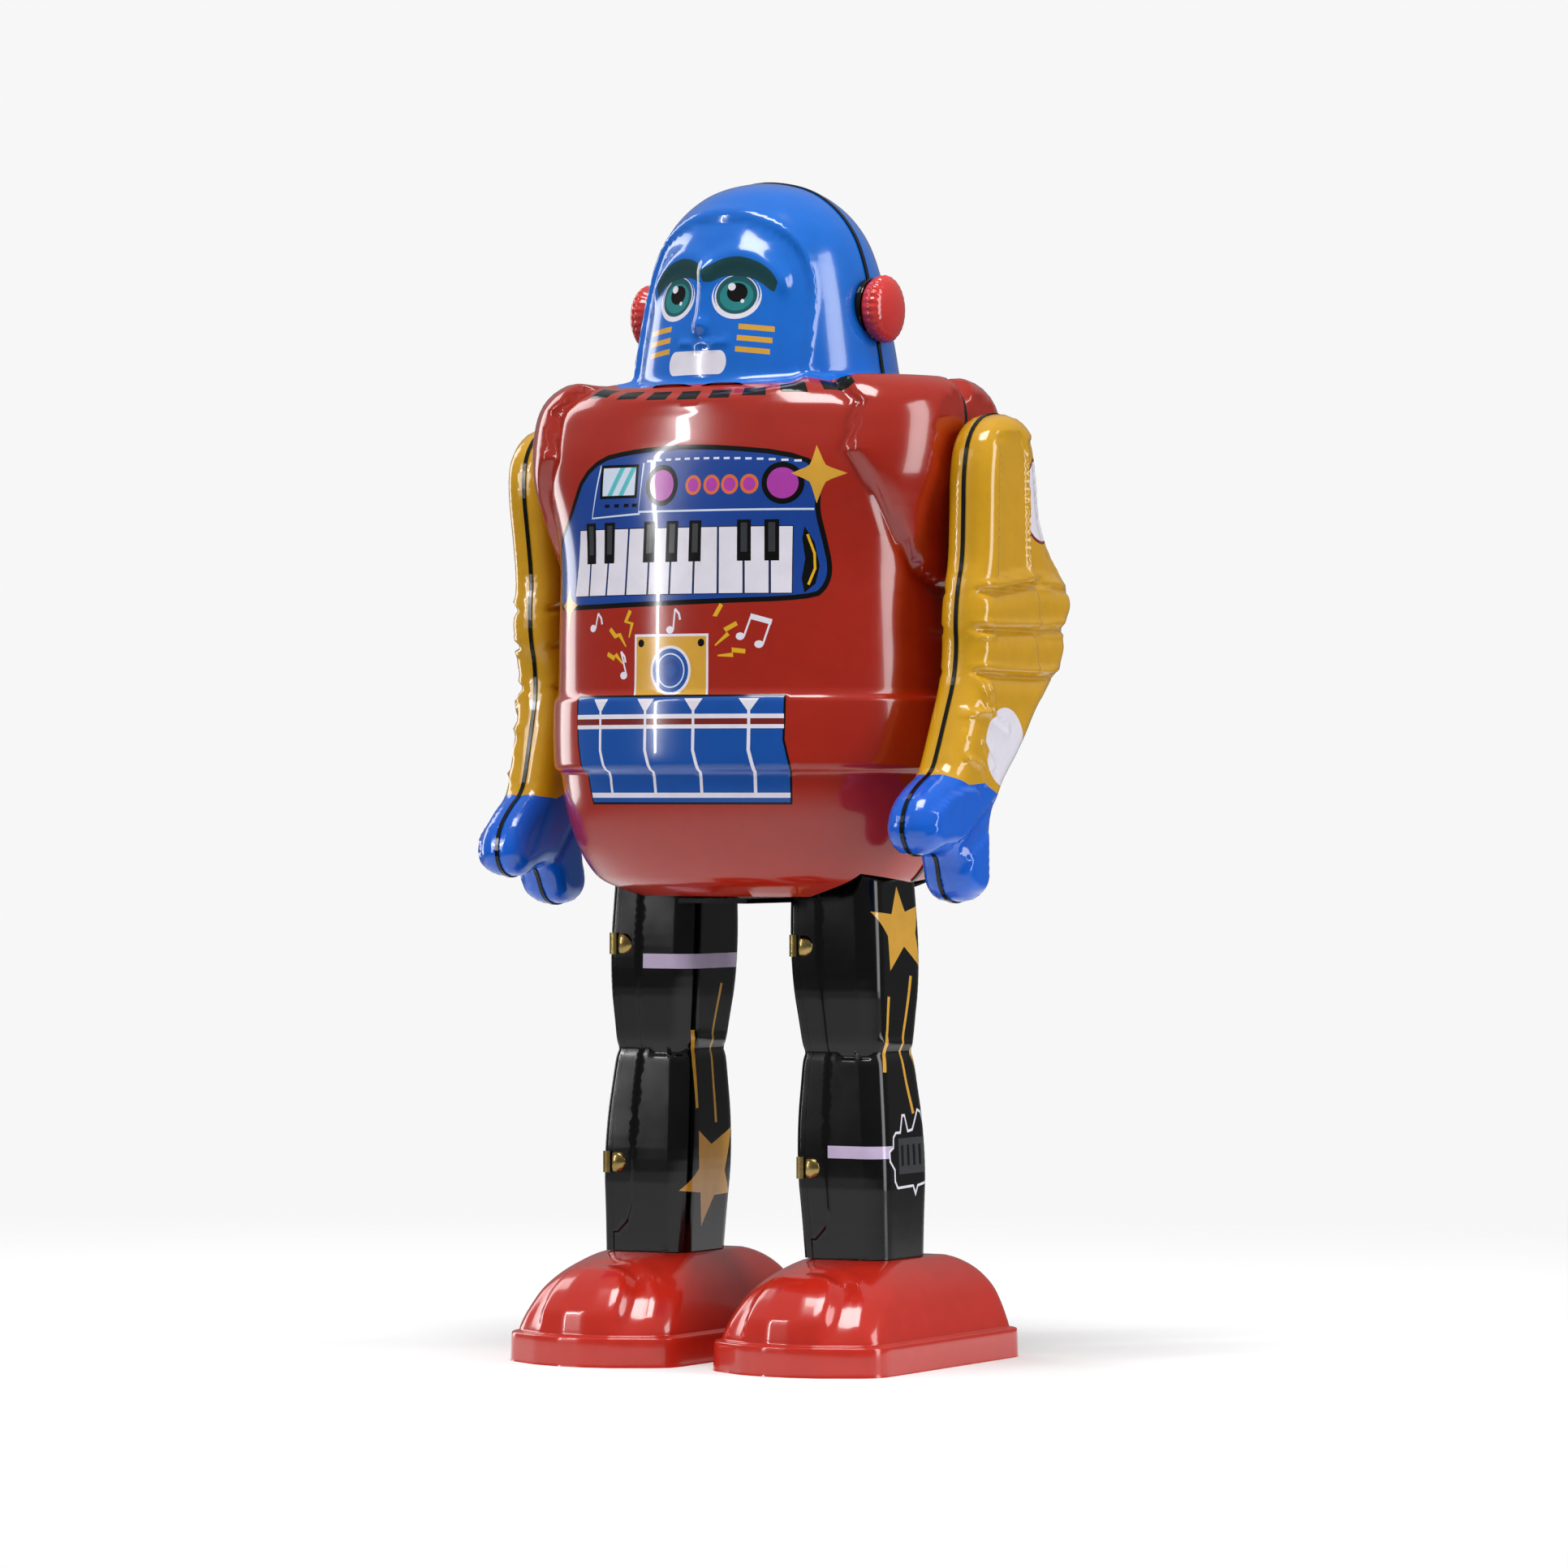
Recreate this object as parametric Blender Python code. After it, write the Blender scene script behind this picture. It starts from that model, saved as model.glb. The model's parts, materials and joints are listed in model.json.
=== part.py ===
"""Wind-up walking tin robot: lithographed body shells, arms, legs, feet and its clockwork motor."""

import math

import bmesh
import bpy
import numpy as np
from mathutils import Matrix

MM = 0.001

# Whole toy. Z is up, the face looks along -Y, and the robot's left side is +X.
AXIS_Y = -8.3  # where the seam plane of the body sits, so that the whole toy is centred on the origin
TIN = 0.5
SEAM_GAP = 0.3
CLEAR = 0.25

# Heights of the axes that things turn on.
SHOULDER_Z = 183.6
EAR_Z = 213.4
KEY_Z = 139.0
CRANK_Z = 121.5
HIP_Z = 103.5

# Body sections: height, half width, half depth, roundness of the corners.
BODY_SECTIONS = (
    (94.6, 27.0, 22.0, 2.3),
    (95.6, 29.6, 24.6, 2.3),
    (97.6, 34.0, 29.0, 2.3),
    (100.6, 36.6, 31.6, 2.25),
    (103.7, 38.3, 33.2, 2.25),
    (107.7, 40.0, 34.8, 2.2),
    (111.7, 41.2, 36.0, 2.2),
    (119.4, 42.2, 37.0, 2.2),
    (120.4, 43.8, 38.4, 2.2),
    (134.4, 43.9, 38.4, 2.2),
    (135.4, 42.9, 37.6, 2.2),
    (150.6, 42.4, 37.3, 2.25),
    (162.6, 41.8, 36.6, 2.3),
    (171.6, 43.2, 36.0, 2.45),
    (178.6, 45.2, 35.3, 2.6),
    (184.1, 46.0, 34.6, 2.6),
    (189.0, 46.1, 33.2, 2.55),
    (192.7, 45.9, 32.2, 2.45),
    (195.3, 44.9, 30.8, 2.3),
    (197.2, 42.6, 29.6, 2.15),
    (198.4, 37.6, 28.6, 2.1),
    (199.3, 30.6, 27.6, 2.1),
    (200.9, 26.9, 26.8, 2.05),
    (204.8, 26.3, 26.2, 2.05),
    (210.9, 25.2, 25.1, 2.05),
    (217.1, 24.1, 24.0, 2.05),
    (223.3, 22.7, 22.5, 2.0),
    (228.5, 20.7, 20.4, 2.0),
    (233.2, 17.3, 17.0, 2.0),
    (236.7, 13.0, 12.8, 2.0),
    (239.0, 7.4, 7.3, 2.0),
    (240.0, 0.0, 0.0, 2.0),
)
BODY_SIDES = 14

# Arms: side outline (depth, height) of the left arm and where its halves sit across the toy.
ARM_OUTLINE = (
    (1.0, 191.7),
    (7.0, 190.5),
    (11.6, 186.4),
    (13.6, 179.6),
    (14.6, 170.6),
    (19.0, 164.2),
    (24.2, 160.2),
    (27.0, 156.2),
    (26.4, 151.2),
    (23.6, 148.6),
    (24.0, 143.0),
    (21.6, 139.2),
    (14.6, 135.2),
    (10.0, 130.1),
    (4.6, 123.7),
    (-2.6, 117.4),
    (-4.6, 115.0),
    (-8.0, 109.7),
    (-9.6, 103.7),
    (-9.4, 97.0),
    (-11.6, 94.4),
    (-15.4, 93.6),
    (-19.4, 94.6),
    (-21.8, 97.2),
    (-23.2, 103.3),
    (-27.0, 103.9),
    (-32.4, 102.9),
    (-36.4, 105.1),
    (-37.6, 109.1),
    (-35.4, 113.8),
    (-30.4, 117.2),
    (-25.0, 119.4),
    (-22.4, 124.1),
    (-19.0, 131.1),
    (-15.8, 137.6),
    (-14.6, 144.2),
    (-15.2, 149.6),
    (-14.2, 156.2),
    (-12.2, 161.6),
    (-11.8, 170.6),
    (-11.6, 180.2),
    (-9.6, 186.6),
    (-4.8, 190.5),
)
ARM_SEAM_X = 52.0
ARM_OUTER_DEPTH = 5.6
ARM_INNER_DEPTH = 4.7
ARM_HANGS_BACK = {"left": 0.0, "right": 12.0}  # degrees behind the drawn outline
ARM_EDGE_STEPS = ((0.0, 0.0), (0.0, 0.42), (1.0, 0.72), (2.6, 0.93), (4.6, 1.0))

# Legs: height, half width, half depth.
LEG_SECTIONS = (
    (21.6, 9.2, 10.2),
    (30.3, 9.4, 10.4),
    (39.2, 9.7, 10.8),
    (49.2, 9.6, 10.5),
    (57.2, 9.2, 9.9),
    (61.4, 8.9, 9.6),
    (62.6, 8.5, 9.2),
    (63.8, 8.5, 9.2),
    (65.0, 8.9, 9.6),
    (69.3, 9.2, 10.0),
    (76.4, 9.6, 10.6),
    (85.5, 9.7, 10.8),
    (95.6, 9.5, 10.5),
    (103.7, 9.4, 10.2),
    (108.7, 9.0, 8.8),
)
LEG_X_AT_HIP = 20.9
LEG_SPLAY = 0.0356
LEG_EDGE_RADIUS = 3.6
LEG_SEAM_RADIUS = 1.2
COVER_LIP = 2.2
TAB_HEIGHTS = (40.0, 84.8)

# Feet: half width, front and rear ends of each level of the pressed shell.
FOOT_X = 23.9
FOOT_LEVELS = (
    (0.0, 19.6, -38.4, 30.4, 6.5),
    (5.6, 19.4, -38.2, 30.2, 6.5),
    (6.3, 18.6, -37.2, 29.2, 6.2),
    (7.2, 17.9, -36.4, 28.4, 6.2),
    (11.1, 17.2, -34.2, 27.4, 6.6),
    (15.0, 16.0, -31.0, 25.8, 7.0),
    (18.0, 14.2, -26.6, 23.6, 7.0),
    (20.2, 12.2, -20.6, 20.4, 6.4),
    (21.4, 10.4, -12.6, 15.6, 4.6),
)
ROLLER_FRONT_Y = -24.0
ROLLER_REAR_Y = 17.0
ROLLER_RADIUS = 3.2
ROLLER_Z = 3.5
PAWL_Y = -4.0
AXLE_HOLES = (
    ("front", ROLLER_FRONT_Y, ROLLER_Z, 1.1),
    ("rear", ROLLER_REAR_Y, ROLLER_Z, 1.1),
    ("pawl", PAWL_Y - 1.2, 4.6, 0.8),
)

# Motor.
MODULE = 0.7
GREAT_TEETH = 40
PINION_TEETH = 10
CROWN_TEETH = 24
RATCHET_TEETH = 12
CRANK_RADIUS = 3.0
ROD_RADIUS = 1.0
ARBOR_RADIUS = 1.5
BRIDGE_Y = 7.4
BACK_PLATE_Y = 22.0
PLATE = 0.8
PLATE_HALF_WIDTH = 17.0
PLATE_BOTTOM = 112.5
PLATE_TOP = 155.5
EAR_X = 10.2
PILLAR_X = 14.4
PILLAR_Z = (115.5, 152.5)


def clear_scene():
    for obj in list(bpy.data.objects):
        bpy.data.objects.remove(obj, do_unlink=True)


def make_material(name, colour, metallic, roughness):
    made = bpy.data.materials.new(name)
    made.use_nodes = True
    shader = made.node_tree.nodes["Principled BSDF"]
    shader.inputs["Base Color"].default_value = (*colour, 1.0)
    shader.inputs["Metallic"].default_value = metallic
    shader.inputs["Roughness"].default_value = roughness
    return made


def add_object(name, points, faces, material, parent):
    """A mesh object from points in millimetres, with doubled points merged and its faces turned out."""
    mesh = bpy.data.meshes.new(name)
    mesh.from_pydata([tuple(float(c) * MM for c in p) for p in points], [], faces)
    work = bmesh.new()
    work.from_mesh(mesh)
    bmesh.ops.remove_doubles(work, verts=work.verts, dist=1e-7)
    bmesh.ops.recalc_face_normals(work, faces=work.faces)
    if work.calc_volume(signed=True) < 0:
        bmesh.ops.reverse_faces(work, faces=work.faces)
    work.to_mesh(mesh)
    work.free()
    mesh.materials.append(material)
    obj = bpy.data.objects.new(name, mesh)
    bpy.context.scene.collection.objects.link(obj)
    obj.parent = parent
    return obj


def add_pivot(name, x, y, z, parent):
    """An empty on a joint's axis. Pieces made in body coordinates hang from it through a matching offset."""
    empty = bpy.data.objects.new(name, None)
    bpy.context.scene.collection.objects.link(empty)
    empty.location = (x * MM, y * MM, z * MM)
    empty.parent = parent
    return empty


def hang(obj, pivot):
    """Moves an object that was made in body coordinates under a pivot, without moving it in space."""
    obj.parent = pivot
    obj.data.transform(Matrix.Translation(-pivot.location))
    return obj


def cut(obj, cutter):
    """Takes the cutter out of the object."""
    modifier = obj.modifiers.new("cut_" + cutter.name, "BOOLEAN")
    modifier.operation = "DIFFERENCE"
    modifier.solver = "EXACT"
    modifier.object = cutter
    return obj


def joined_to(obj, other):
    """Joins the other solid to the object and returns the other."""
    modifier = obj.modifiers.new("join_" + other.name, "BOOLEAN")
    modifier.operation = "UNION"
    modifier.solver = "EXACT"
    modifier.object = other
    return other


def as_cutter(obj):
    obj.hide_render = True
    obj.display_type = "WIRE"
    return obj


def ring_faces(rings, size):
    """Quads between each ring of points and the next."""
    faces = []
    for row in range(rings - 1):
        for k in range(size):
            after = (k + 1) % size
            faces.append((row * size + k, row * size + after, (row + 1) * size + after, (row + 1) * size + k))
    return faces


def loft(name, rings, material, parent):
    """A closed solid through a stack of equal rings, capped at both ends."""
    size = len(rings[0])
    points = [p for ring in rings for p in ring]
    faces = ring_faces(len(rings), size)
    faces.append(tuple(range(size)))
    last = (len(rings) - 1) * size
    faces.append(tuple(last + k for k in reversed(range(size))))
    return add_object(name, points, faces, material, parent)


def along(axis, position, u, v):
    """A point with the given position on one axis and two coordinates across it."""
    if axis == "X":
        return (position, u, v)
    if axis == "Y":
        return (u, position, v)
    return (u, v, position)


def turned(name, axis, centre, profile, sides, material, parent):
    """A solid of revolution about an axis, from (position, radius) pairs that start and end above zero radius."""
    rings = []
    for position, radius in profile:
        ring = []
        for k in range(sides):
            angle = 2 * math.pi * k / sides
            u = centre[0] + radius * math.cos(angle)
            v = centre[1] + radius * math.sin(angle)
            ring.append(along(axis, position, u, v))
        rings.append(ring)
    return loft(name, rings, material, parent)


def hollow_turned(name, axis, centre, profile, sides, material, parent):
    """A ring-shaped solid of revolution from a closed (position, radius) profile that stays off the axis."""
    size = len(profile)
    points = []
    for k in range(sides):
        angle = 2 * math.pi * k / sides
        for position, radius in profile:
            u = centre[0] + radius * math.cos(angle)
            v = centre[1] + radius * math.sin(angle)
            points.append(along(axis, position, u, v))
    faces = []
    for k in range(sides):
        here = k * size
        after = ((k + 1) % sides) * size
        for j in range(size):
            nxt = (j + 1) % size
            faces.append((here + j, here + nxt, after + nxt, after + j))
    return add_object(name, points, faces, material, parent)


def prism(name, axis, outline, start, end, material, parent):
    """An outline across an axis, extruded from start to end along it."""
    rings = [[along(axis, position, u, v) for u, v in outline] for position in (start, end)]
    return loft(name, rings, material, parent)


def box(name, low, high, material, parent):
    outline = [(low[0], low[1]), (high[0], low[1]), (high[0], high[1]), (low[0], high[1])]
    return prism(name, "Z", outline, low[2], high[2], material, parent)


def circle(u, v, radius, sides, phase=0.0):
    turns = [phase + 2 * math.pi * k / sides for k in range(sides)]
    return [(u + radius * math.cos(t), v + radius * math.sin(t)) for t in turns]


def grid_normals(grid):
    """Outward unit normals of a grid of points, from its neighbours along rows and columns."""
    across = np.empty_like(grid)
    across[:, 1:-1] = grid[:, 2:] - grid[:, :-2]
    across[:, 0] = grid[:, 1] - grid[:, 0]
    across[:, -1] = grid[:, -1] - grid[:, -2]
    up = np.empty_like(grid)
    up[1:-1] = grid[2:] - grid[:-2]
    up[0] = grid[1] - grid[0]
    up[-1] = grid[-1] - grid[-2]
    normals = np.cross(across, up)
    sizes = np.linalg.norm(normals, axis=2, keepdims=True)
    return normals / np.maximum(sizes, 1e-9)


def skin(name, outer, inner, material, parent):
    """A closed sheet-metal piece between an outer and an inner grid of points."""
    rows, columns = outer.shape[:2]
    points = [tuple(p) for p in outer.reshape(-1, 3)] + [tuple(p) for p in inner.reshape(-1, 3)]
    shift = rows * columns

    def at(row, column):
        return row * columns + column

    faces = []
    for r in range(rows - 1):
        for c in range(columns - 1):
            quad = (at(r, c), at(r, c + 1), at(r + 1, c + 1), at(r + 1, c))
            faces.append(quad)
            faces.append(tuple(shift + k for k in reversed(quad)))
    edge = [at(0, c) for c in range(columns)]
    edge += [at(r, columns - 1) for r in range(1, rows)]
    edge += [at(rows - 1, c) for c in reversed(range(columns - 1))]
    edge += [at(r, 0) for r in reversed(range(1, rows - 1))]
    for k, here in enumerate(edge):
        after = edge[(k + 1) % len(edge)]
        faces.append((after, here, shift + here, shift + after))
    return add_object(name, points, faces, material, parent)


def body_point(section, angle, side):
    """A point of the body's section: side is -1 on the front half and +1 on the back half."""
    height, half_width, half_depth, roundness = section
    c = math.cos(angle)
    s = math.sin(angle)
    power = 2.0 / roundness
    x = half_width * math.copysign(abs(c) ** power, c)
    y = side * half_depth * abs(s) ** power
    return (x, y, height)


def body_shell(name, side, material, parent):
    """One pressed half of the head and torso, open along the seam plane and at the bottom."""
    angles = [math.pi * k / BODY_SIDES for k in range(BODY_SIDES + 1)]
    grid = np.array([[body_point(s, a, side) for a in angles] for s in BODY_SECTIONS])
    normals = grid_normals(grid) * side
    normals[-1] = (0.0, 0.0, 1.0)
    normals[:, 0, 1] = 0.0
    normals[:, -1, 1] = 0.0
    normals /= np.linalg.norm(normals, axis=2, keepdims=True)
    outward = np.sign((normals * (grid - (0.0, 0.0, 160.0))).sum(axis=2, keepdims=True))
    inner = grid - TIN * normals * np.where(outward == 0, 1.0, outward)
    shift = np.array([0.0, side * SEAM_GAP / 2, 0.0])
    return skin(name, grid + shift, inner + shift, material, parent)


def leg_window(name, sign, parent):
    """The arched opening that a leg swings in."""
    low = (sign * 33.2, sign * 8.6)
    left = min(low)
    right = max(low)
    outline = [(left, 87.5), (right, 87.5), (right, 96.2), (right - 2.6, 99.6)]
    outline += [(left + 2.6, 99.6), (left, 96.2)]
    return as_cutter(prism(name, "Y", outline, -15.5, 15.5, None, parent))


def build_body(root, paint):
    """Head and torso shells, ears and the base plate between the legs."""
    front = body_shell("front_shell", -1, paint["body"], root)
    back = body_shell("back_shell", 1, paint["body"], root)
    cutters = [leg_window("leg_opening_left", 1, root), leg_window("leg_opening_right", -1, root)]
    rod_hole = circle(0.0, SHOULDER_Z, ROD_RADIUS + CLEAR, 12)
    ear_hole = circle(0.0, EAR_Z, 1.5, 12)
    cutters.append(as_cutter(prism("rod_hole", "X", rod_hole, -50.0, 50.0, None, root)))
    cutters.append(as_cutter(prism("ear_hole", "X", ear_hole, -40.0, 40.0, None, root)))
    for shell in (front, back):
        for cutter in cutters:
            cut(shell, cutter)
    key_hole = prism("key_hole", "Y", circle(0.0, KEY_Z, 3.4, 16), 30.0, 45.0, None, root)
    cut(back, as_cutter(key_hole))
    plate = [(-8.0, -22.0), (-8.0, 22.0), (8.0, 22.0), (8.0, -22.0)]
    prism("base_plate", "Z", plate, 93.2, 94.2, paint["black"], root)
    for side, sign in (("left", 1), ("right", -1)):
        pad = [(sign * x, r) for x, r in ((26.2, 2.0), (26.2, 6.4), (26.7, 7.0), (27.1, 6.6), (27.1, 2.0))]
        hollow_turned(f"ear_pad_{side}", "X", (0.0, EAR_Z), pad, 24, paint["black"], root)
        cap = [(23.4, 1.2), (27.3, 1.2), (27.3, 6.5), (28.2, 6.5), (29.3, 5.5), (29.9, 3.4), (30.1, 1.0)]
        cap = [(sign * x, r) for x, r in cap]
        turned(f"ear_cap_{side}", "X", (0.0, EAR_Z), cap, 24, paint["ear"], root)


def inset(outline, distance):
    """The outline moved in by a distance, each corner along the mean of its two edges' normals."""
    points = np.array(outline, float)
    edges = np.roll(points, -1, axis=0) - points
    edges /= np.linalg.norm(edges, axis=1, keepdims=True)
    normals = np.stack([edges[:, 1], -edges[:, 0]], axis=1)
    corner = normals + np.roll(normals, 1, axis=0)
    corner /= np.linalg.norm(corner, axis=1, keepdims=True)
    area = (points[:, 0] * np.roll(points[:, 1], -1) - points[:, 1] * np.roll(points[:, 0], -1)).sum()
    return points - np.sign(area) * distance * corner


def turned_back(outline, degrees):
    """An outline of depth and height, turned about the shoulder so that its lower end moves to the rear."""
    cos = math.cos(math.radians(degrees))
    sin = math.sin(math.radians(degrees))
    return [(y * cos - (z - SHOULDER_Z) * sin, SHOULDER_Z + y * sin + (z - SHOULDER_Z) * cos) for y, z in outline]


def arm_half(name, side, sign, outward, depth, material, parent):
    """Half an arm: an outline at the seam plane, rising in steps to a flat outer face, hollow inside."""
    drawn = turned_back(ARM_OUTLINE, ARM_HANGS_BACK[side])
    seam = ARM_SEAM_X + outward * SEAM_GAP / 2
    rings = []
    for inward, rise in ARM_EDGE_STEPS:
        outline = inset(drawn, inward)
        rings.append([(sign * (seam + outward * depth * rise), y, z) for y, z in outline])
    size = len(ARM_OUTLINE)
    inner = []
    for inward, rise in ARM_EDGE_STEPS[:-1]:
        outline = inset(drawn, inward + TIN)
        height = max(depth * rise - TIN, 0.0)
        inner.append([(sign * (seam + outward * height), y, z) for y, z in outline])
    stack = list(reversed(rings)) + inner
    return loft(name, stack, material, parent), size


def build_arm(side, sign, root, paint):
    """One arm: two hollow halves on an eyelet that turns on the shoulder rod."""
    pivot = add_pivot(f"arm_{side}_pivot", 0.0, 0.0, SHOULDER_Z, root)
    outer, _ = arm_half(f"arm_{side}_outer", side, sign, 1, ARM_OUTER_DEPTH, paint["sleeve"], root)
    inner, _ = arm_half(f"arm_{side}_inner", side, sign, -1, ARM_INNER_DEPTH, paint["sleeve"], root)
    hole = circle(0.0, SHOULDER_Z, 2.2, 12)
    span = sorted((sign * 46.5, sign * 56.4))
    cutter = as_cutter(prism(f"arm_{side}_hole", "X", hole, span[0], span[1], None, root))
    cut(outer, cutter)
    cut(inner, cutter)
    start = 46.3
    profile = [(start, 1.25), (start, 3.2), (47.1, 3.2), (47.1, 1.95), (55.2, 1.95), (55.2, 1.25)]
    profile = [(sign * x, r) for x, r in profile]
    eyelet = hollow_turned(f"arm_{side}_eyelet", "X", (0.0, SHOULDER_Z), profile, 16, paint["steel"], root)
    for obj in (outer, inner, eyelet):
        hang(obj, pivot)
    cutter.parent = root
    return pivot


def leg_centre(height, sign):
    return sign * (LEG_X_AT_HIP + LEG_SPLAY * (94.6 - height))


def corner_arc(u, v, radius, start, end, steps):
    angles = np.linspace(math.radians(start), math.radians(end), steps + 1)
    return [(u + radius * math.cos(a), v + radius * math.sin(a)) for a in angles]


def wrap_path(a, b):
    """Front, outer side and rear of the leg, from one seam to the other."""
    r = LEG_EDGE_RADIUS
    path = [(-a + COVER_LIP + SEAM_GAP, -b), (0.0, -b)]
    path += corner_arc(a - r, -b + r, r, -90, 0, 3)
    path += corner_arc(a - r, b - r, r, 0, 90, 3)
    path += [(0.0, b), (-a + COVER_LIP + SEAM_GAP, b)]
    return path


def cover_path(a, b):
    """The closing strip on the leg's other side, with a short lip round onto the front and the rear."""
    r = LEG_SEAM_RADIUS
    path = [(-a + COVER_LIP, b)]
    path += corner_arc(-a + r, b - r, r, 90, 180, 2)
    path += corner_arc(-a + r, -b + r, r, 180, 270, 2)
    path += [(-a + COVER_LIP, -b)]
    return path


def leg_skin(name, sign, path_of, material, parent):
    outer = []
    inner = []
    for height, a, b in LEG_SECTIONS:
        cx = leg_centre(height, sign)
        outer.append([(cx + x, y, height) for x, y in path_of(a, b)])
        path = np.array(path_of(a, b))
        steps = np.gradient(path, axis=0)
        steps /= np.linalg.norm(steps, axis=1, keepdims=True)
        offset = np.stack([-steps[:, 1], steps[:, 0]], axis=1) * TIN
        inner.append([(cx + x, y, height) for x, y in path + offset])
    return skin(name, np.array(outer), np.array(inner), material, parent)


def tab_outline(height, edge, b):
    """A folded tab seen from the front: a rounded tongue that laps over the seam."""
    points = [(edge - 1.9, height - 2.0)]
    points += corner_arc(edge + 0.8, height, 2.0, -90, 90, 4)
    points += [(edge - 1.9, height + 2.0)]
    return points


def build_leg(side, sign, root, paint):
    """One leg: the wrapped sleeve, its cover with tabs, and the lever that the crank moves."""
    pivot = add_pivot(f"leg_{side}_pivot", 0.0, 0.0, HIP_Z, root)
    wrap = leg_skin(f"leg_{side}_wrap", sign, wrap_path, paint["black"], root)
    cover = leg_skin(f"leg_{side}_cover", sign, cover_path, paint["black"], root)
    tabs = []
    for level, height in enumerate(TAB_HEIGHTS):
        a, b = 9.7, 10.8
        edge = leg_centre(height, sign) - a + COVER_LIP
        for face, y in (("front", -b), ("rear", b)):
            span = sorted((y * 0.985, y + math.copysign(0.85, y)))
            name = f"leg_{side}_tab_{face}_{level}"
            tab = prism(name, "Y", tab_outline(height, edge, b), span[0], span[1], None, root)
            tabs.append(as_cutter(tab))
    for tab in tabs:
        cut(wrap, tab)
        joined_to(cover, tab)
    hole = circle(0.0, HIP_Z, ROD_RADIUS + CLEAR, 12)
    span = sorted((sign * 8.0, sign * 34.0))
    hip_hole = as_cutter(prism(f"leg_{side}_hip_hole", "X", hole, span[0], span[1], None, root))
    cut(wrap, hip_hole)
    cut(cover, hip_hole)
    lever = [(-9.2, 89.6), (9.2, 89.6), (9.2, 97.6), (4.6, 103.6), (4.0, 127.5), (2.6, 128.9)]
    lever += [(-2.6, 128.9), (-4.0, 127.5), (-4.6, 103.6), (-9.2, 97.6)]
    span = sorted((sign * 22.1, sign * 23.0))
    plate = prism(f"leg_{side}_lever", "X", lever, span[0], span[1], paint["steel"], root)
    slot = [(-1.2, 116.7), (1.2, 116.7), (1.2, 126.3), (-1.2, 126.3)]
    slot_span = (span[0] - 1.0, span[1] + 1.0)
    cut(plate, as_cutter(prism(f"leg_{side}_slot", "X", slot, *slot_span, None, root)))
    cut(plate, hip_hole)
    for obj in (wrap, cover, plate, hip_hole, *tabs, bpy.data.objects[f"leg_{side}_slot"]):
        hang(obj, pivot)
    build_foot(side, sign, pivot, root, paint)
    return pivot


def foot_outline(half_width, front, rear, corner):
    """A level of the foot: a long rounded shape, blunt at the toe and square at the heel."""
    points = corner_arc(half_width - corner, front + corner * 1.7, corner, -62, 0, 3)
    points += corner_arc(half_width - corner * 0.55, rear - corner * 0.55, corner * 0.55, 0, 90, 2)
    points += [(-x, y) for x, y in reversed(points)]
    points += [(-half_width * 0.33, front), (half_width * 0.33, front)]
    return points


def foot_shell(name, sign, material, parent):
    outer = []
    inner = []
    for level, (height, half_width, front, rear, corner) in enumerate(FOOT_LEVELS):
        ring = foot_outline(half_width, front, rear, corner)
        outer.append([(sign * FOOT_X + x, y, height) for x, y in ring])
        thin = foot_outline(half_width - TIN, front + TIN, rear - TIN, corner)
        drop = TIN if level == len(FOOT_LEVELS) - 1 else 0.45 * TIN * (level > 2)
        inner.append([(sign * FOOT_X + x, y, height - drop) for x, y in thin])
    return loft(name, list(reversed(inner)) + outer, material, parent)


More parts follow.
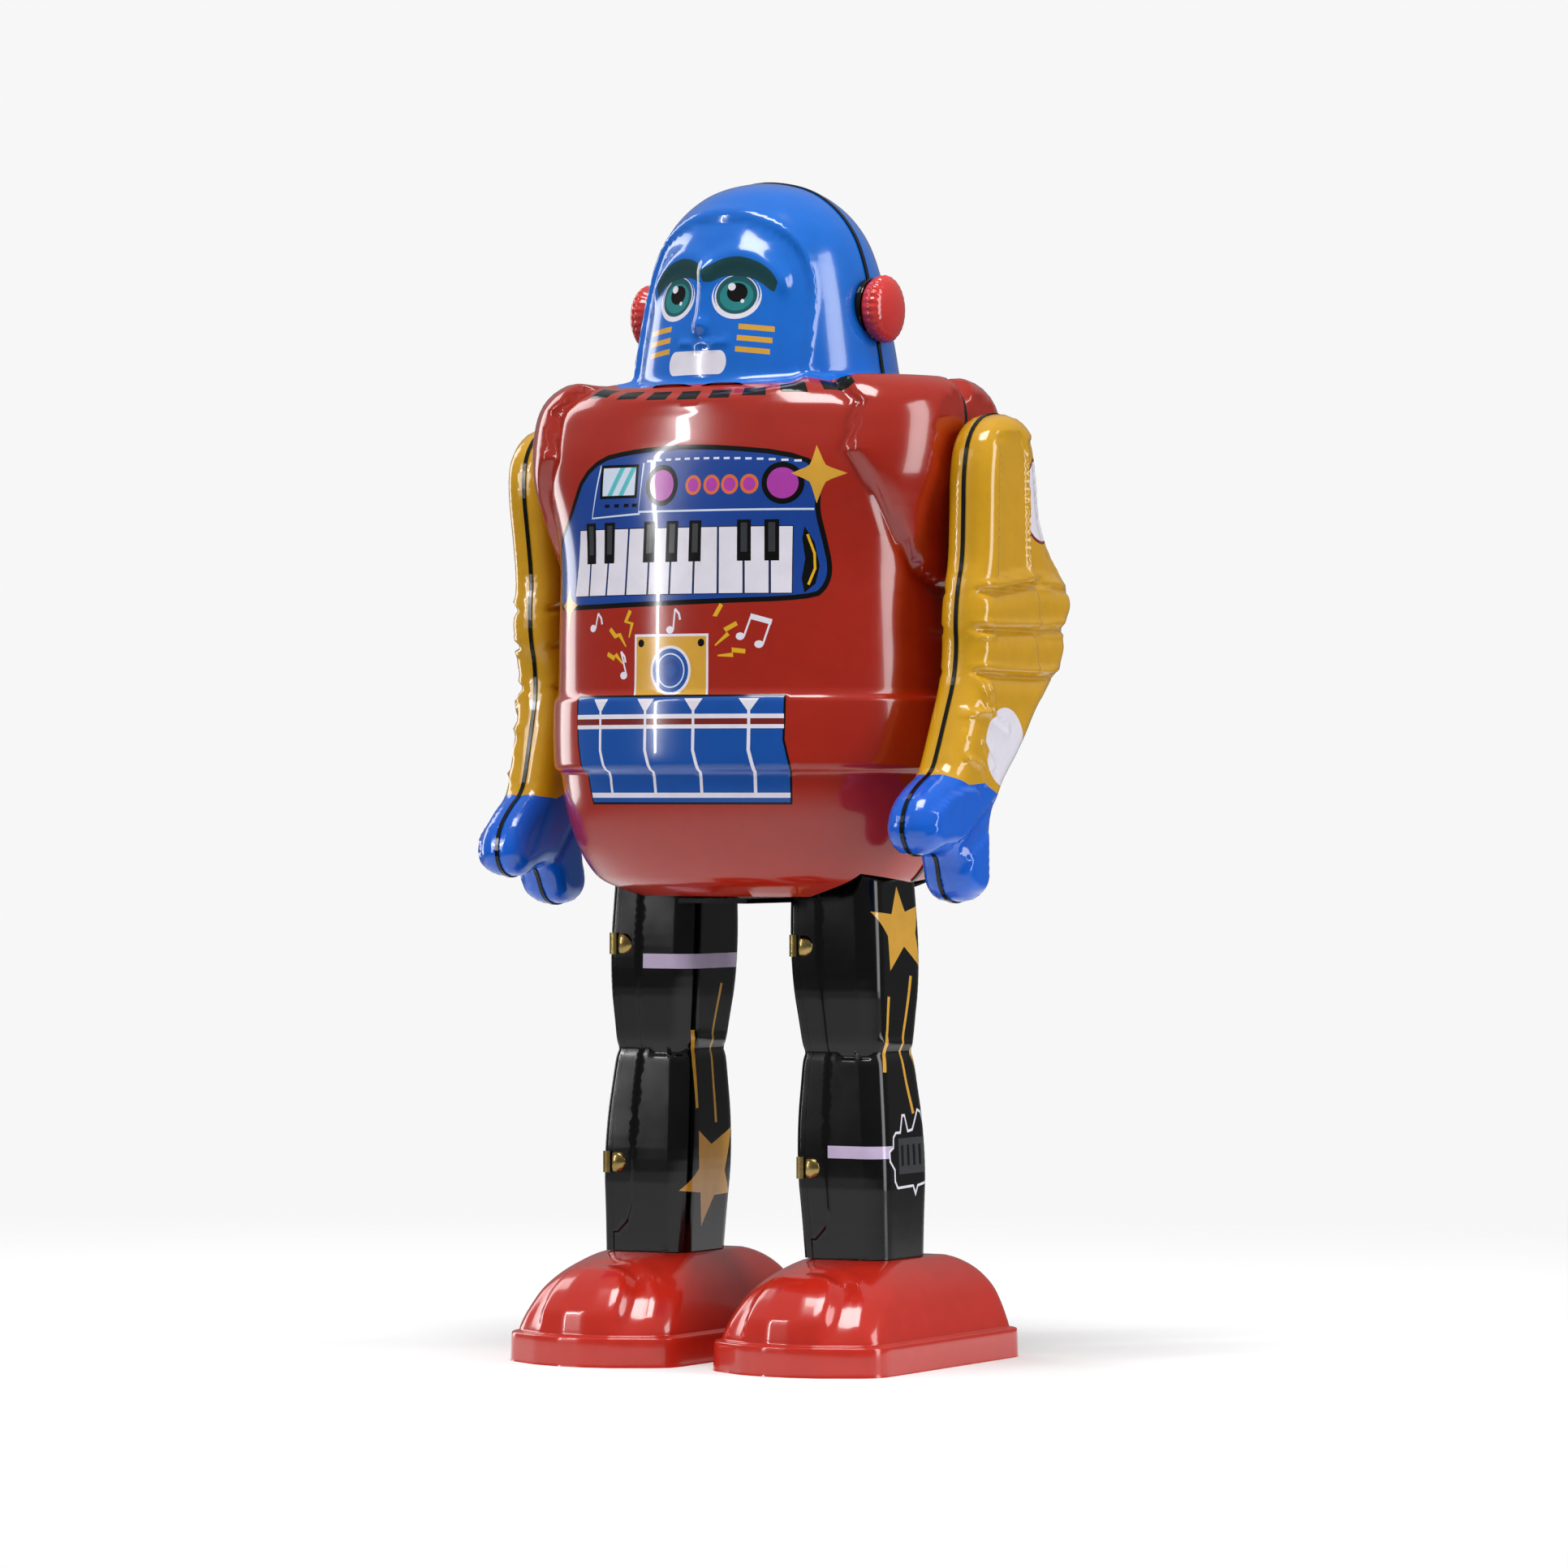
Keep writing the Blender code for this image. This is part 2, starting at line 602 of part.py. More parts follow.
def build_foot(side, sign, pivot, root, paint):
    """The pressed foot, its sole plate, two rollers and the pawl that stops it sliding back."""
    shell = foot_shell(f"foot_{side}_shell", sign, paint["foot"], root)
    sole_ring = foot_outline(18.7, -37.4, 29.4, 6.2)
    outline = [(sign * FOOT_X + x, y) for x, y in sole_ring]
    sole = prism(f"foot_{side}_sole", "Z", outline, 2.4, 3.2, paint["steel"], root)
    lugs = [(12.0, ROLLER_FRONT_Y), (12.0, ROLLER_REAR_Y), (3.3, PAWL_Y - 1.2)]
    parts = []
    for reach, y in lugs:
        for end in (-1, 1):
            x = sign * FOOT_X + end * reach
            low = (x - 0.35, y - 1.9, 2.8)
            high = (x + 0.35, y + 1.9, 6.0)
            lug = as_cutter(box(f"foot_{side}_lug_{len(parts)}", low, high, None, root))
            parts.append(joined_to(sole, lug))
    slots = [("front", ROLLER_FRONT_Y, 4.2, 11.4), ("rear", ROLLER_REAR_Y, 4.2, 11.4), ("pawl", PAWL_Y, 4.6, 2.4)]
    for name, y, reach, half in slots:
        low = (sign * FOOT_X - half, y - reach, 1.0)
        high = (sign * FOOT_X + half, y + reach, 3.8)
        parts.append(as_cutter(box(f"foot_{side}_{name}_slot", low, high, None, root)))
        cut(sole, parts[-1])
    for name, y, z, radius in AXLE_HOLES:
        span = (sign * FOOT_X - 13.2, sign * FOOT_X + 13.2)
        hole = prism(f"foot_{side}_{name}_bearing", "X", circle(y, z, radius, 12), *span, None, root)
        parts.append(as_cutter(hole))
        cut(sole, parts[-1])
    for obj in (shell, sole, *parts):
        hang(obj, pivot)
    for name, y in (("front", ROLLER_FRONT_Y), ("rear", ROLLER_REAR_Y)):
        x = sign * FOOT_X
        profile = [(x - 12.6, 0.9), (x - 8.6, 0.9), (x - 8.6, 2.4), (x - 8.0, ROLLER_RADIUS)]
        profile += [(x + 8.0, ROLLER_RADIUS), (x + 8.6, 2.4), (x + 8.6, 0.9), (x + 12.6, 0.9)]
        roller = turned(f"foot_{side}_{name}_roller", "X", (y, ROLLER_Z), profile, 16, paint["rubber"], root)
        hub = add_pivot(f"foot_{side}_{name}_roller_pivot", x, y, ROLLER_Z, root)
        hang(roller, hub)
        hub.parent = pivot
        hub.location.z -= pivot.location.z
    pawl = [(-2.4, 4.3), (-1.5, 3.4), (1.6, 1.1), (2.4, 0.5), (2.9, 0.9), (2.2, 3.0), (0.6, 5.0)]
    pawl += [(-1.6, 5.6)]
    outline = [(PAWL_Y + y, z) for y, z in pawl]
    span = (sign * FOOT_X - 1.6, sign * FOOT_X + 1.6)
    piece = prism(f"foot_{side}_pawl", "X", outline, *span, paint["steel"], root)
    ends = (sign * FOOT_X - 4.2, sign * FOOT_X + 4.2)
    pin = prism(f"foot_{side}_pawl_pin", "X", circle(PAWL_Y - 1.2, 4.6, 0.6, 10), *ends, None, root)
    joined_to(piece, as_cutter(pin))
    hub = add_pivot(f"foot_{side}_pawl_pivot", sign * FOOT_X, PAWL_Y - 1.2, 4.6, root)
    hang(piece, hub)
    hang(pin, hub)
    hub.parent = pivot
    hub.location.z -= pivot.location.z


def gear_outline(u, v, teeth, phase):
    """A spur gear with plenty of backlash: four points to a tooth."""
    pitch = MODULE * teeth / 2
    root_radius = pitch - 1.1 * MODULE
    tip_radius = pitch + 0.85 * MODULE
    step = 2 * math.pi / teeth
    points = []
    for k in range(teeth):
        centre = phase + k * step
        for part, radius in ((-0.25, root_radius), (-0.09, tip_radius), (0.09, tip_radius), (0.25, root_radius)):
            angle = centre + part * step
            points.append((u + radius * math.cos(angle), v + radius * math.sin(angle)))
    return points


def bored(obj, axis, u, v, radius, low, high, root):
    hole = as_cutter(prism(obj.name + "_bore", axis, circle(u, v, radius, 16), low, high, None, root))
    return cut(obj, hole), hole


def build_motor_frame(root, paint):
    """The bridge with its two bent ears, the back plate and the pillars between them."""
    low = (-PLATE_HALF_WIDTH, BRIDGE_Y, PLATE_BOTTOM)
    high = (PLATE_HALF_WIDTH, BRIDGE_Y + PLATE, PLATE_TOP)
    bridge = box("motor_bridge", low, high, paint["steel"], root)
    for sign in (1, -1):
        span = sorted((sign * EAR_X, sign * (EAR_X + PLATE)))
        outline = [(-6.4, 94.6), (6.4, 94.6), (8.0, 109.5), (8.0, 128.5), (-5.0, 128.5)]
        ear = as_cutter(prism(f"bridge_ear_{sign}", "X", outline, *span, None, root))
        joined_to(bridge, ear)
    holes = (("shaft", "X", 0.0, CRANK_Z, 1.75, -14.0, 14.0), ("hip", "X", 0.0, HIP_Z, 1.25, -14.0, 14.0))
    holes += (("crown", "Y", 0.0, CRANK_Z, 1.8, 5.0, 10.0), ("arbor", "Y", 0.0, KEY_Z, 1.8, 5.0, 10.0))
    for name, axis, u, v, radius, start, end in holes:
        hole = prism(f"bridge_{name}_hole", axis, circle(u, v, radius, 16), start, end, None, root)
        cut(bridge, as_cutter(hole))
    low = (-PLATE_HALF_WIDTH, BACK_PLATE_Y, PLATE_BOTTOM)
    high = (PLATE_HALF_WIDTH, BACK_PLATE_Y + PLATE, PLATE_TOP)
    back = box("motor_back_plate", low, high, paint["steel"], root)
    for name, height in (("arbor", KEY_Z), ("crown", CRANK_Z)):
        hole = prism(f"back_{name}_hole", "Y", circle(0.0, height, 1.8, 16), 20.0, 25.0, None, root)
        cut(back, as_cutter(hole))
    for number, (sx, pz) in enumerate((x, z) for x in (-PILLAR_X, PILLAR_X) for z in PILLAR_Z):
        profile = [(BRIDGE_Y + PLATE + 0.1, 1.3), (BACK_PLATE_Y - 0.1, 1.3)]
        turned(f"motor_pillar_{number + 1}", "Y", (sx, pz), profile, 12, paint["steel"], root)


def build_mainspring(root, paint):
    """The coiled mainspring, half wound."""
    turns = 3.6
    steps = 60
    thick = 0.35
    inner = []
    outer = []
    for k in range(steps + 1):
        part = k / steps
        angle = 2 * math.pi * turns * part
        radius = 2.2 + 9.6 * part
        inner.append((radius * math.cos(angle), KEY_Z + radius * math.sin(angle)))
        outer.append(((radius + thick) * math.cos(angle), KEY_Z + (radius + thick) * math.sin(angle)))
    rings = []
    for (xi, zi), (xo, zo) in zip(inner, outer):
        rings.append([(xi, 13.6, zi), (xo, 13.6, zo), (xo, 21.2, zo), (xi, 21.2, zi)])
    return loft("mainspring", rings, paint["blued"], root)


def crown_wheel(pivot, root, paint):
    """A contrate wheel: a disc whose teeth stand forward from its rim."""
    size = 6
    points = []
    stations = CROWN_TEETH * 4
    step = 2 * math.pi / CROWN_TEETH
    for k in range(CROWN_TEETH):
        for part, front in ((0.24, 4.35), (0.41, 2.95), (0.59, 2.95), (0.76, 4.35)):
            angle = (k + part) * step
            profile = [(1.62, 5.4), (9.3, 5.4), (9.3, front), (7.6, front), (7.6, 4.5), (1.62, 4.5)]
            for radius, y in profile:
                points.append((radius * math.cos(angle), y, CRANK_Z + radius * math.sin(angle)))
    faces = []
    for k in range(stations):
        here = k * size
        after = ((k + 1) % stations) * size
        for j in range(size):
            nxt = (j + 1) % size
            faces.append((here + j, here + nxt, after + nxt, after + j))
    return hang(add_object("crown_wheel", points, faces, paint["brass"], root), pivot)


def build_winder(root, paint):
    """Key, winding arbor and ratchet wheel, which turn together."""
    pivot = add_pivot("winder_pivot", 0.0, 0.0, KEY_Z, root)
    profile = [(5.6, 1.2), (6.8, 1.2), (6.8, 1.5), (13.0, 1.5), (13.0, 1.7), (21.4, 1.7), (21.4, 1.5), (39.6, 1.5)]
    arbor = turned("winding_arbor", "Y", (0.0, KEY_Z), profile, 16, paint["steel"], root)
    hang(arbor, pivot)
    step = 2 * math.pi / RATCHET_TEETH
    outline = []
    for k in range(RATCHET_TEETH):
        for part, radius in ((0.0, 5.0), (0.06, 4.0), (0.55, 4.5)):
            outline.append((radius * math.cos((k + part) * step), KEY_Z + radius * math.sin((k + part) * step)))
    wheel = prism("ratchet_wheel", "Y", outline, 11.4, 12.6, paint["steel"], root)
    _, hole = bored(wheel, "Y", 0.0, KEY_Z, 1.6, 10.0, 14.0, root)
    hang(wheel, pivot)
    hang(hole, pivot)
    bow = []
    for sign in (1, -1):
        for angle in np.radians(np.linspace(-128, 128, 11)):
            bow.append((sign * (7.9 + 6.4 * math.cos(angle)), sign * 6.4 * math.sin(angle)))
    y_mid = 48.6
    # The bow is flat in the plane of the arbor: it spans the toy's width and stands out behind it.
    outline = [(u, y_mid + v) for u, v in bow]
    key = prism("key", "Z", outline, KEY_Z - 0.8, KEY_Z + 0.8, paint["steel"], root)
    tube = [(38.4, 1.62), (38.4, 2.7), (47.6, 2.7), (48.2, 2.3), (48.2, 1.62)]
    tube = as_cutter(hollow_turned("key_tube", "Y", (0.0, KEY_Z), tube, 16, None, root))
    core = as_cutter(prism("key_core", "Y", circle(0.0, KEY_Z, 1.62, 16), 36.0, 41.0, None, root))
    for sign in (1, -1):
        hole = prism(f"key_eye_{sign}", "Z", circle(sign * 7.9, y_mid, 3.4, 16), KEY_Z - 3, KEY_Z + 3, None, root)
        cut(key, as_cutter(hole))
        hang(hole, pivot)
    joined_to(key, tube)
    cut(key, core)
    for obj in (key, tube, core):
        hang(obj, pivot)


def build_train(root, paint):
    """Great wheel and click, second arbor with its crown wheel, crank shaft and crank discs."""
    great_pivot = add_pivot("great_pivot", 0.0, 0.0, KEY_Z, root)
    phase = -math.pi / 2 + math.pi / GREAT_TEETH
    outline = gear_outline(0.0, KEY_Z, GREAT_TEETH, phase)
    great = prism("great_wheel", "Y", outline, 9.6, 10.8, paint["brass"], root)
    _, hole = bored(great, "Y", 0.0, KEY_Z, 1.75, 8.6, 12.0, root)
    hang(great, great_pivot)
    hang(hole, great_pivot)
    click = [(5.35, 1.0), (6.6, -0.4), (8.4, 3.0), (9.6, 7.0), (8.6, 8.2), (7.2, 7.6), (6.6, 4.0)]
    outline = [(u, KEY_Z + v) for u, v in click]
    hang(prism("click", "Y", outline, 11.4, 12.4, paint["steel"], root), great_pivot)
    second_pivot = add_pivot("second_pivot", 0.0, 0.0, CRANK_Z, root)
    second_z = KEY_Z - MODULE * (GREAT_TEETH + PINION_TEETH) / 2
    rings = []
    gear = gear_outline(0.0, second_z, PINION_TEETH, math.pi / 2)
    size = len(gear)
    for position, radius in ((3.6, 1.5), (8.8, 1.5)):
        turns = [math.atan2(v - second_z, u) for u, v in gear]
        rings.append([(radius * math.cos(t), position, second_z + radius * math.sin(t)) for t in turns])
    for position in (8.8, 11.4):
        rings.append([(u, position, v) for u, v in gear])
    for position, radius in ((11.4, 1.5), (23.6, 1.5)):
        turns = [math.atan2(v - second_z, u) for u, v in gear]
        rings.append([(radius * math.cos(t), position, second_z + radius * math.sin(t)) for t in turns])
    hang(loft("second_arbor", rings, paint["steel"], root), second_pivot)
    crown_wheel(second_pivot, root, paint)
    crank_pivot = add_pivot("crank_pivot", 0.0, 0.0, CRANK_Z, root)
    gear = gear_outline(0.0, CRANK_Z, PINION_TEETH, 0.0)
    turns = [math.atan2(v - CRANK_Z, u) for u, v in gear]
    rings = []
    for position, radius in ((-20.9, 1.4), (7.6, 1.4), (7.6, 0.0), (9.4, 0.0), (9.4, 1.4), (20.9, 1.4)):
        if radius:
            rings.append([(position, radius * math.cos(t), CRANK_Z + radius * math.sin(t)) for t in turns])
        else:
            rings.append([(position, u, v) for u, v in gear])
    hang(loft("crank_shaft", rings, paint["steel"], root), crank_pivot)
    for side, sign in (("left", 1), ("right", -1)):
        profile = [(sign * 18.6, 1.55), (sign * 18.6, 5.0), (sign * 19.6, 5.0), (sign * 19.6, 1.55)]
        disc = hollow_turned(f"crank_disc_{side}", "X", (0.0, CRANK_Z), profile, 20, paint["steel"], root)
        span = sorted((sign * 19.2, sign * 21.8))
        pin = circle(0.0, CRANK_Z + sign * CRANK_RADIUS, 0.9, 10)
        pin = as_cutter(prism(f"crank_pin_{side}", "X", pin, *span, None, root))
        joined_to(disc, pin)
        hang(disc, crank_pivot)
        hang(pin, crank_pivot)


def build_rods(root, paint):
    rod = [(-55.0, ROD_RADIUS), (55.0, ROD_RADIUS)]
    turned("shoulder_rod", "X", (0.0, SHOULDER_Z), rod, 12, paint["steel"], root)
    hip = [(-33.0, 1.9), (-32.2, 1.9), (-32.2, ROD_RADIUS), (32.2, ROD_RADIUS), (32.2, 1.9), (33.0, 1.9)]
    turned("hip_rod", "X", (0.0, HIP_Z), hip, 12, paint["steel"], root)


def main():
    clear_scene()
    paint = {
        "body": make_material("body_litho", (0.52, 0.04, 0.02), 0.0, 0.2),
        "ear": make_material("ear_red", (0.62, 0.06, 0.06), 0.0, 0.2),
        "black": make_material("black_lacquer", (0.01, 0.01, 0.012), 0.0, 0.15),
        "sleeve": make_material("arm_litho", (0.6, 0.33, 0.03), 0.0, 0.2),
        "foot": make_material("foot_red", (0.56, 0.03, 0.02), 0.0, 0.2),
        "steel": make_material("plated_steel", (0.6, 0.6, 0.6), 1.0, 0.3),
        "brass": make_material("gear_brass", (0.7, 0.5, 0.2), 1.0, 0.3),
        "blued": make_material("spring_steel", (0.1, 0.12, 0.2), 1.0, 0.3),
        "rubber": make_material("roller_rubber", (0.03, 0.03, 0.03), 0.0, 0.7),
    }
    root = add_pivot("toy_root", 0.0, AXIS_Y, 0.0, None)
    build_body(root, paint)
    for side, sign in (("left", 1), ("right", -1)):
        build_arm(side, sign, root, paint)
        build_leg(side, sign, root, paint)
    build_motor_frame(root, paint)
    build_mainspring(root, paint)
    build_winder(root, paint)
    build_train(root, paint)
    build_rods(root, paint)


main()
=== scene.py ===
"""Wind-up tin robot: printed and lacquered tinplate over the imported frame."""

import json
import math

import bmesh
import bpy
import numpy as np
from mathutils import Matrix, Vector
from mathutils.geometry import delaunay_2d_cdt
from mathutils.kdtree import KDTree


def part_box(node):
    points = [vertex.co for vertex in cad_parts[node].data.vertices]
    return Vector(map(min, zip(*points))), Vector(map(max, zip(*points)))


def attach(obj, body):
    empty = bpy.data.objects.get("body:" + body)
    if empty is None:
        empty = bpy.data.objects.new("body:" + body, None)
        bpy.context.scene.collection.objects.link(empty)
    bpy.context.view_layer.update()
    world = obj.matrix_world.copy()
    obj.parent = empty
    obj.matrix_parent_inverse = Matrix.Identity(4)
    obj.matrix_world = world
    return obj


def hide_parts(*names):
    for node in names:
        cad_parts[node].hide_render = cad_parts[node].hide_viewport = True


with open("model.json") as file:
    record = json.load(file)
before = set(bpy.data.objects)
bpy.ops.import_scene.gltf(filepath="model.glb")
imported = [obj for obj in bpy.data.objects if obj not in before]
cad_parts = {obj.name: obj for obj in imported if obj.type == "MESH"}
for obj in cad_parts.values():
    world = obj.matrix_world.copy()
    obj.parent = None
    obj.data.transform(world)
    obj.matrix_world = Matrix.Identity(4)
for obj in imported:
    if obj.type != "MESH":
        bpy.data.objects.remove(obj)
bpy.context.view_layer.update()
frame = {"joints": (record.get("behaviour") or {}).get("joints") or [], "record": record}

MM = 0.001
TIN = 0.5
SEAM_GAP = 0.3
SIDES = (("left", 1.0), ("right", -1.0))

# The seam plane of the body, and the heights that things turn at, from the frame.
JOINTS = {joint["name"]: joint for joint in frame["joints"]}
AXIS_Y = (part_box("front_shell")[1][1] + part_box("back_shell")[0][1]) / 2 / MM
SHOULDER_Z = JOINTS["arm_left_swing"]["pos_m"][2] / MM
KEY_Z = JOINTS["key_turn"]["pos_m"][2] / MM
EAR_Z = (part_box("ear_cap_left")[0][2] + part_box("ear_cap_left")[1][2]) / 2 / MM

# Body sections: height, half width, half depth, roundness of the corners.
BODY_SECTIONS = (
    (94.6, 27.0, 22.0, 2.3),
    (95.6, 29.6, 24.6, 2.3),
    (97.6, 34.0, 29.0, 2.3),
    (100.6, 36.6, 31.6, 2.25),
    (103.7, 38.3, 33.2, 2.25),
    (107.7, 40.0, 34.8, 2.2),
    (111.7, 41.2, 36.0, 2.2),
    (116.4, 42.0, 36.8, 2.2),
    (119.2, 42.2, 37.0, 2.2),
    (119.7, 42.5, 37.3, 2.2),
    (120.2, 43.5, 38.1, 2.2),
    (121.0, 43.8, 38.4, 2.2),
    (127.0, 44.0, 38.5, 2.2),
    (134.0, 43.9, 38.4, 2.2),
    (134.6, 43.6, 38.1, 2.2),
    (135.1, 43.0, 37.7, 2.2),
    (135.8, 42.8, 37.5, 2.2),
    (150.6, 42.4, 37.3, 2.25),
    (162.6, 41.8, 36.6, 2.3),
    (171.6, 43.2, 36.0, 2.45),
    (178.6, 45.2, 35.3, 2.6),
    (184.1, 46.0, 34.6, 2.6),
    (189.0, 46.1, 33.2, 2.55),
    (192.7, 45.9, 32.2, 2.45),
    (195.3, 44.9, 30.8, 2.3),
    (196.8, 43.0, 29.8, 2.15),
    (197.6, 40.6, 29.1, 2.1),
    (198.2, 37.0, 28.2, 2.1),
    (198.6, 32.0, 27.4, 2.1),
    (199.0, 28.6, 27.2, 2.1),
    (199.6, 27.2, 27.0, 2.05),
    (201.4, 26.8, 26.7, 2.05),
    (204.8, 26.3, 26.2, 2.05),
    (210.9, 25.2, 25.1, 2.05),
    (217.1, 24.1, 24.0, 2.05),
    (223.3, 22.7, 22.5, 2.0),
    (228.5, 20.7, 20.4, 2.0),
    (233.2, 17.3, 17.0, 2.0),
    (236.7, 13.0, 12.8, 2.0),
    (238.4, 9.4, 9.3, 2.0),
    (239.4, 5.8, 5.7, 2.0),
    (239.9, 2.4, 2.4, 2.0),
    (240.0, 0.3, 0.3, 2.0),
)
GIRTH = 40.0  # art is drawn on the body at this radius: across is angle times it, up is height
SHOULDER_TOP = 197.9
NECK_INSET = 5.0  # the blue of the head starts this far in along the shoulder
HALF_TURN = GIRTH * math.pi / 2
CLEAR_OF_ARM = 46.6  # the shoulders stay within this half width, inside the swinging arms
LEG_WINDOW = [(34.0, 94.0), (43.4, 99.3), (50.2, 98.6), (66.0, 97.2), (66.0, 94.0)]


# ---------------------------------------------------------------- shape helpers

def soften(rows, times):
    """Corner cutting: a smooth run of rows through a table, with its two ends kept."""
    rows = np.array(rows, float)
    for _ in range(times):
        near = rows[:-1] * 0.75 + rows[1:] * 0.25
        far = rows[:-1] * 0.25 + rows[1:] * 0.75
        cut = np.stack([near, far], axis=1).reshape(-1, rows.shape[1])
        rows = np.concatenate([rows[:1], cut, rows[-1:]])
    return rows


def soften_loop(points, times):
    """Corner cutting all round a closed outline."""
    points = np.array(points, float)
    for _ in range(times):
        after = np.roll(points, -1, axis=0)
        points = np.stack([points * 0.75 + after * 0.25, points * 0.25 + after * 0.75], axis=1)
        points = points.reshape(-1, points.shape[2])
    return points


def anticlockwise(outline):
    """The outline in the direction that the triangulation counts as filled."""
    points = np.array(outline, float)
    after = np.roll(points, -1, axis=0)
    area = (points[:, 0] * after[:, 1] - points[:, 1] * after[:, 0]).sum()
    return list(outline) if area > 0 else list(outline)[::-1]


def spaced(outline, step):
    """The closed outline with points added so that no edge is longer than the step."""
    points = []
    for here, after in zip(outline, list(outline[1:]) + [outline[0]]):
        count = max(1, math.ceil(math.dist(here, after) / step))
        for k in range(count):
            part = k / count
            points.append((here[0] + (after[0] - here[0]) * part, here[1] + (after[1] - here[1]) * part))
    return points


def distance_to(points, path, closed=False):
    """How far each point is from a chain of segments."""
    points = np.asarray(points, float)
    path = np.asarray(path, float)
    if closed:
        path = np.concatenate([path, path[:1]])
    best = np.full(len(points), 1e9)
    for start, end in zip(path[:-1], path[1:]):
        run = end - start
        part = np.clip(((points - start) @ run) / max(run @ run, 1e-12), 0.0, 1.0)
        gap = points - start - part[:, None] * run
        best = np.minimum(best, np.hypot(gap[:, 0], gap[:, 1]))
    return best


def inside(points, outline):
    """Which points lie within an outline, by counting the edges to their right."""
    points = np.asarray(points, float)
    outline = np.asarray(outline, float)
    odd = np.zeros(len(points), bool)
    for (x0, y0), (x1, y1) in zip(outline, np.roll(outline, -1, axis=0)):
        if y0 == y1:
            continue
        crossing = x0 + (points[:, 1] - y0) / (y1 - y0) * (x1 - x0)
        odd ^= ((y0 > points[:, 1]) != (y1 > points[:, 1])) & (points[:, 0] < crossing)
    return odd


def ridge(points, path, height, width):
    """A soft raised or sunk line along a path."""
    return height * np.exp(-((distance_to(points, path) / width) ** 2))


def plateau(points, outline, height, edge):
    """A raised or sunk area with a smooth edge, centred on its outline."""
    gap = distance_to(points, outline, closed=True) * np.where(inside(points, outline), 1.0, -1.0)
    part = np.clip(gap / edge + 0.5, 0.0, 1.0)
    return height * part * part * (3.0 - 2.0 * part)


def disc(u, v, radius, sides=32, squash=1.0, start=0.0, end=360.0):
    """A circle, an ellipse or an arc of one, between two angles in degrees."""
    turns = np.radians(np.linspace(start, end, sides, endpoint=end - start < 360.0))
    return [(u + radius * math.cos(t), v + radius * squash * math.sin(t)) for t in turns]


def band(path, width):
    """A stroke of even width along a path, or of the widths given for its points."""
    path = np.array(path, float)
    widths = np.broadcast_to(np.asarray(width, float), len(path))[:, None]
    run = np.gradient(path, axis=0)
    run /= np.linalg.norm(run, axis=1, keepdims=True)
    side = np.stack([-run[:, 1], run[:, 0]], axis=1) * widths / 2
    return [tuple(p) for p in np.concatenate([path + side, (path - side)[::-1]])]


def grown(outline, distance):
    """The outline moved outwards, or inwards where the distance is negative."""
    points = np.array(outline, float)
    after = np.roll(points, -1, axis=0)
    edges = after - points
    edges /= np.linalg.norm(edges, axis=1, keepdims=True)
    normals = np.stack([edges[:, 1], -edges[:, 0]], axis=1)
    area = (points[:, 0] * after[:, 1] - points[:, 1] * after[:, 0]).sum()
    corner = normals + np.roll(normals, 1, axis=0)
    corner /= np.maximum((corner * normals).sum(axis=1, keepdims=True), 0.4)
    return [tuple(p) for p in points + np.sign(area) * distance * corner]


def bar(left, right, low, high):
    return [(left, low), (right, low), (right, high), (left, high)]


def mirrored(path):
    return [(-u, v) for u, v in path]


# ---------------------------------------------------------------- materials

def shader_of(made):
    return made.node_tree.nodes["Principled BSDF"]


def add(made, kind, **values):
    node = made.node_tree.nodes.new(kind)
    for name, value in values.items():
        setattr(node, name, value)
    return node


def put(node, **values):
    """Constants on a node's sockets, with spaces in their names written as underlines."""
    for name, value in values.items():
        node.inputs[name.replace("_", " ")].default_value = value


def varied(made, low, high, scale):
    """A noise that runs between two colours."""
    links = made.node_tree.links
    place = add(made, "ShaderNodeTexCoord")
    noise = add(made, "ShaderNodeTexNoise")
    put(noise, Scale=scale, Detail=3.0)
    ramp = add(made, "ShaderNodeValToRGB")
    for stop, position, colour in zip(ramp.color_ramp.elements, (0.3, 0.7), (low, high)):
        stop.position = position
        stop.color = (*colour, 1.0)
    links.new(place.outputs["Object"], noise.inputs["Vector"])
    links.new(noise.outputs["Fac"], ramp.inputs["Fac"])
    return noise, ramp


def bumped(made, scale, strength):
    """Fine unevenness of the surface, a tenth of a millimetre high."""
    links = made.node_tree.links
    place = add(made, "ShaderNodeTexCoord")
    noise = add(made, "ShaderNodeTexNoise")
    put(noise, Scale=scale)
    bump = add(made, "ShaderNodeBump")
    put(bump, Strength=strength, Distance=0.1 * MM)
    links.new(place.outputs["Object"], noise.inputs["Vector"])
    links.new(noise.outputs["Fac"], bump.inputs["Height"])
    links.new(bump.outputs["Normal"], shader_of(made).inputs["Normal"])


def linear(colour):
    """Screen values from 0 to 255 as linear light."""
    parts = [c / 255 for c in colour]
    return tuple(c / 12.92 if c <= 0.04045 else ((c + 0.055) / 1.055) ** 2.4 for c in parts)


def gloss(made, noise, smoothest, roughest):
    """A roughness that follows a noise between two values."""
    links = made.node_tree.links
    spread = add(made, "ShaderNodeMapRange")
    put(spread, To_Min=smoothest, To_Max=roughest)
    links.new(noise.outputs["Fac"], spread.inputs["Value"])
    links.new(spread.outputs["Result"], shader_of(made).inputs["Roughness"])


def new_material(name):
    made = bpy.data.materials.new(name)
    made.use_nodes = True
    return made


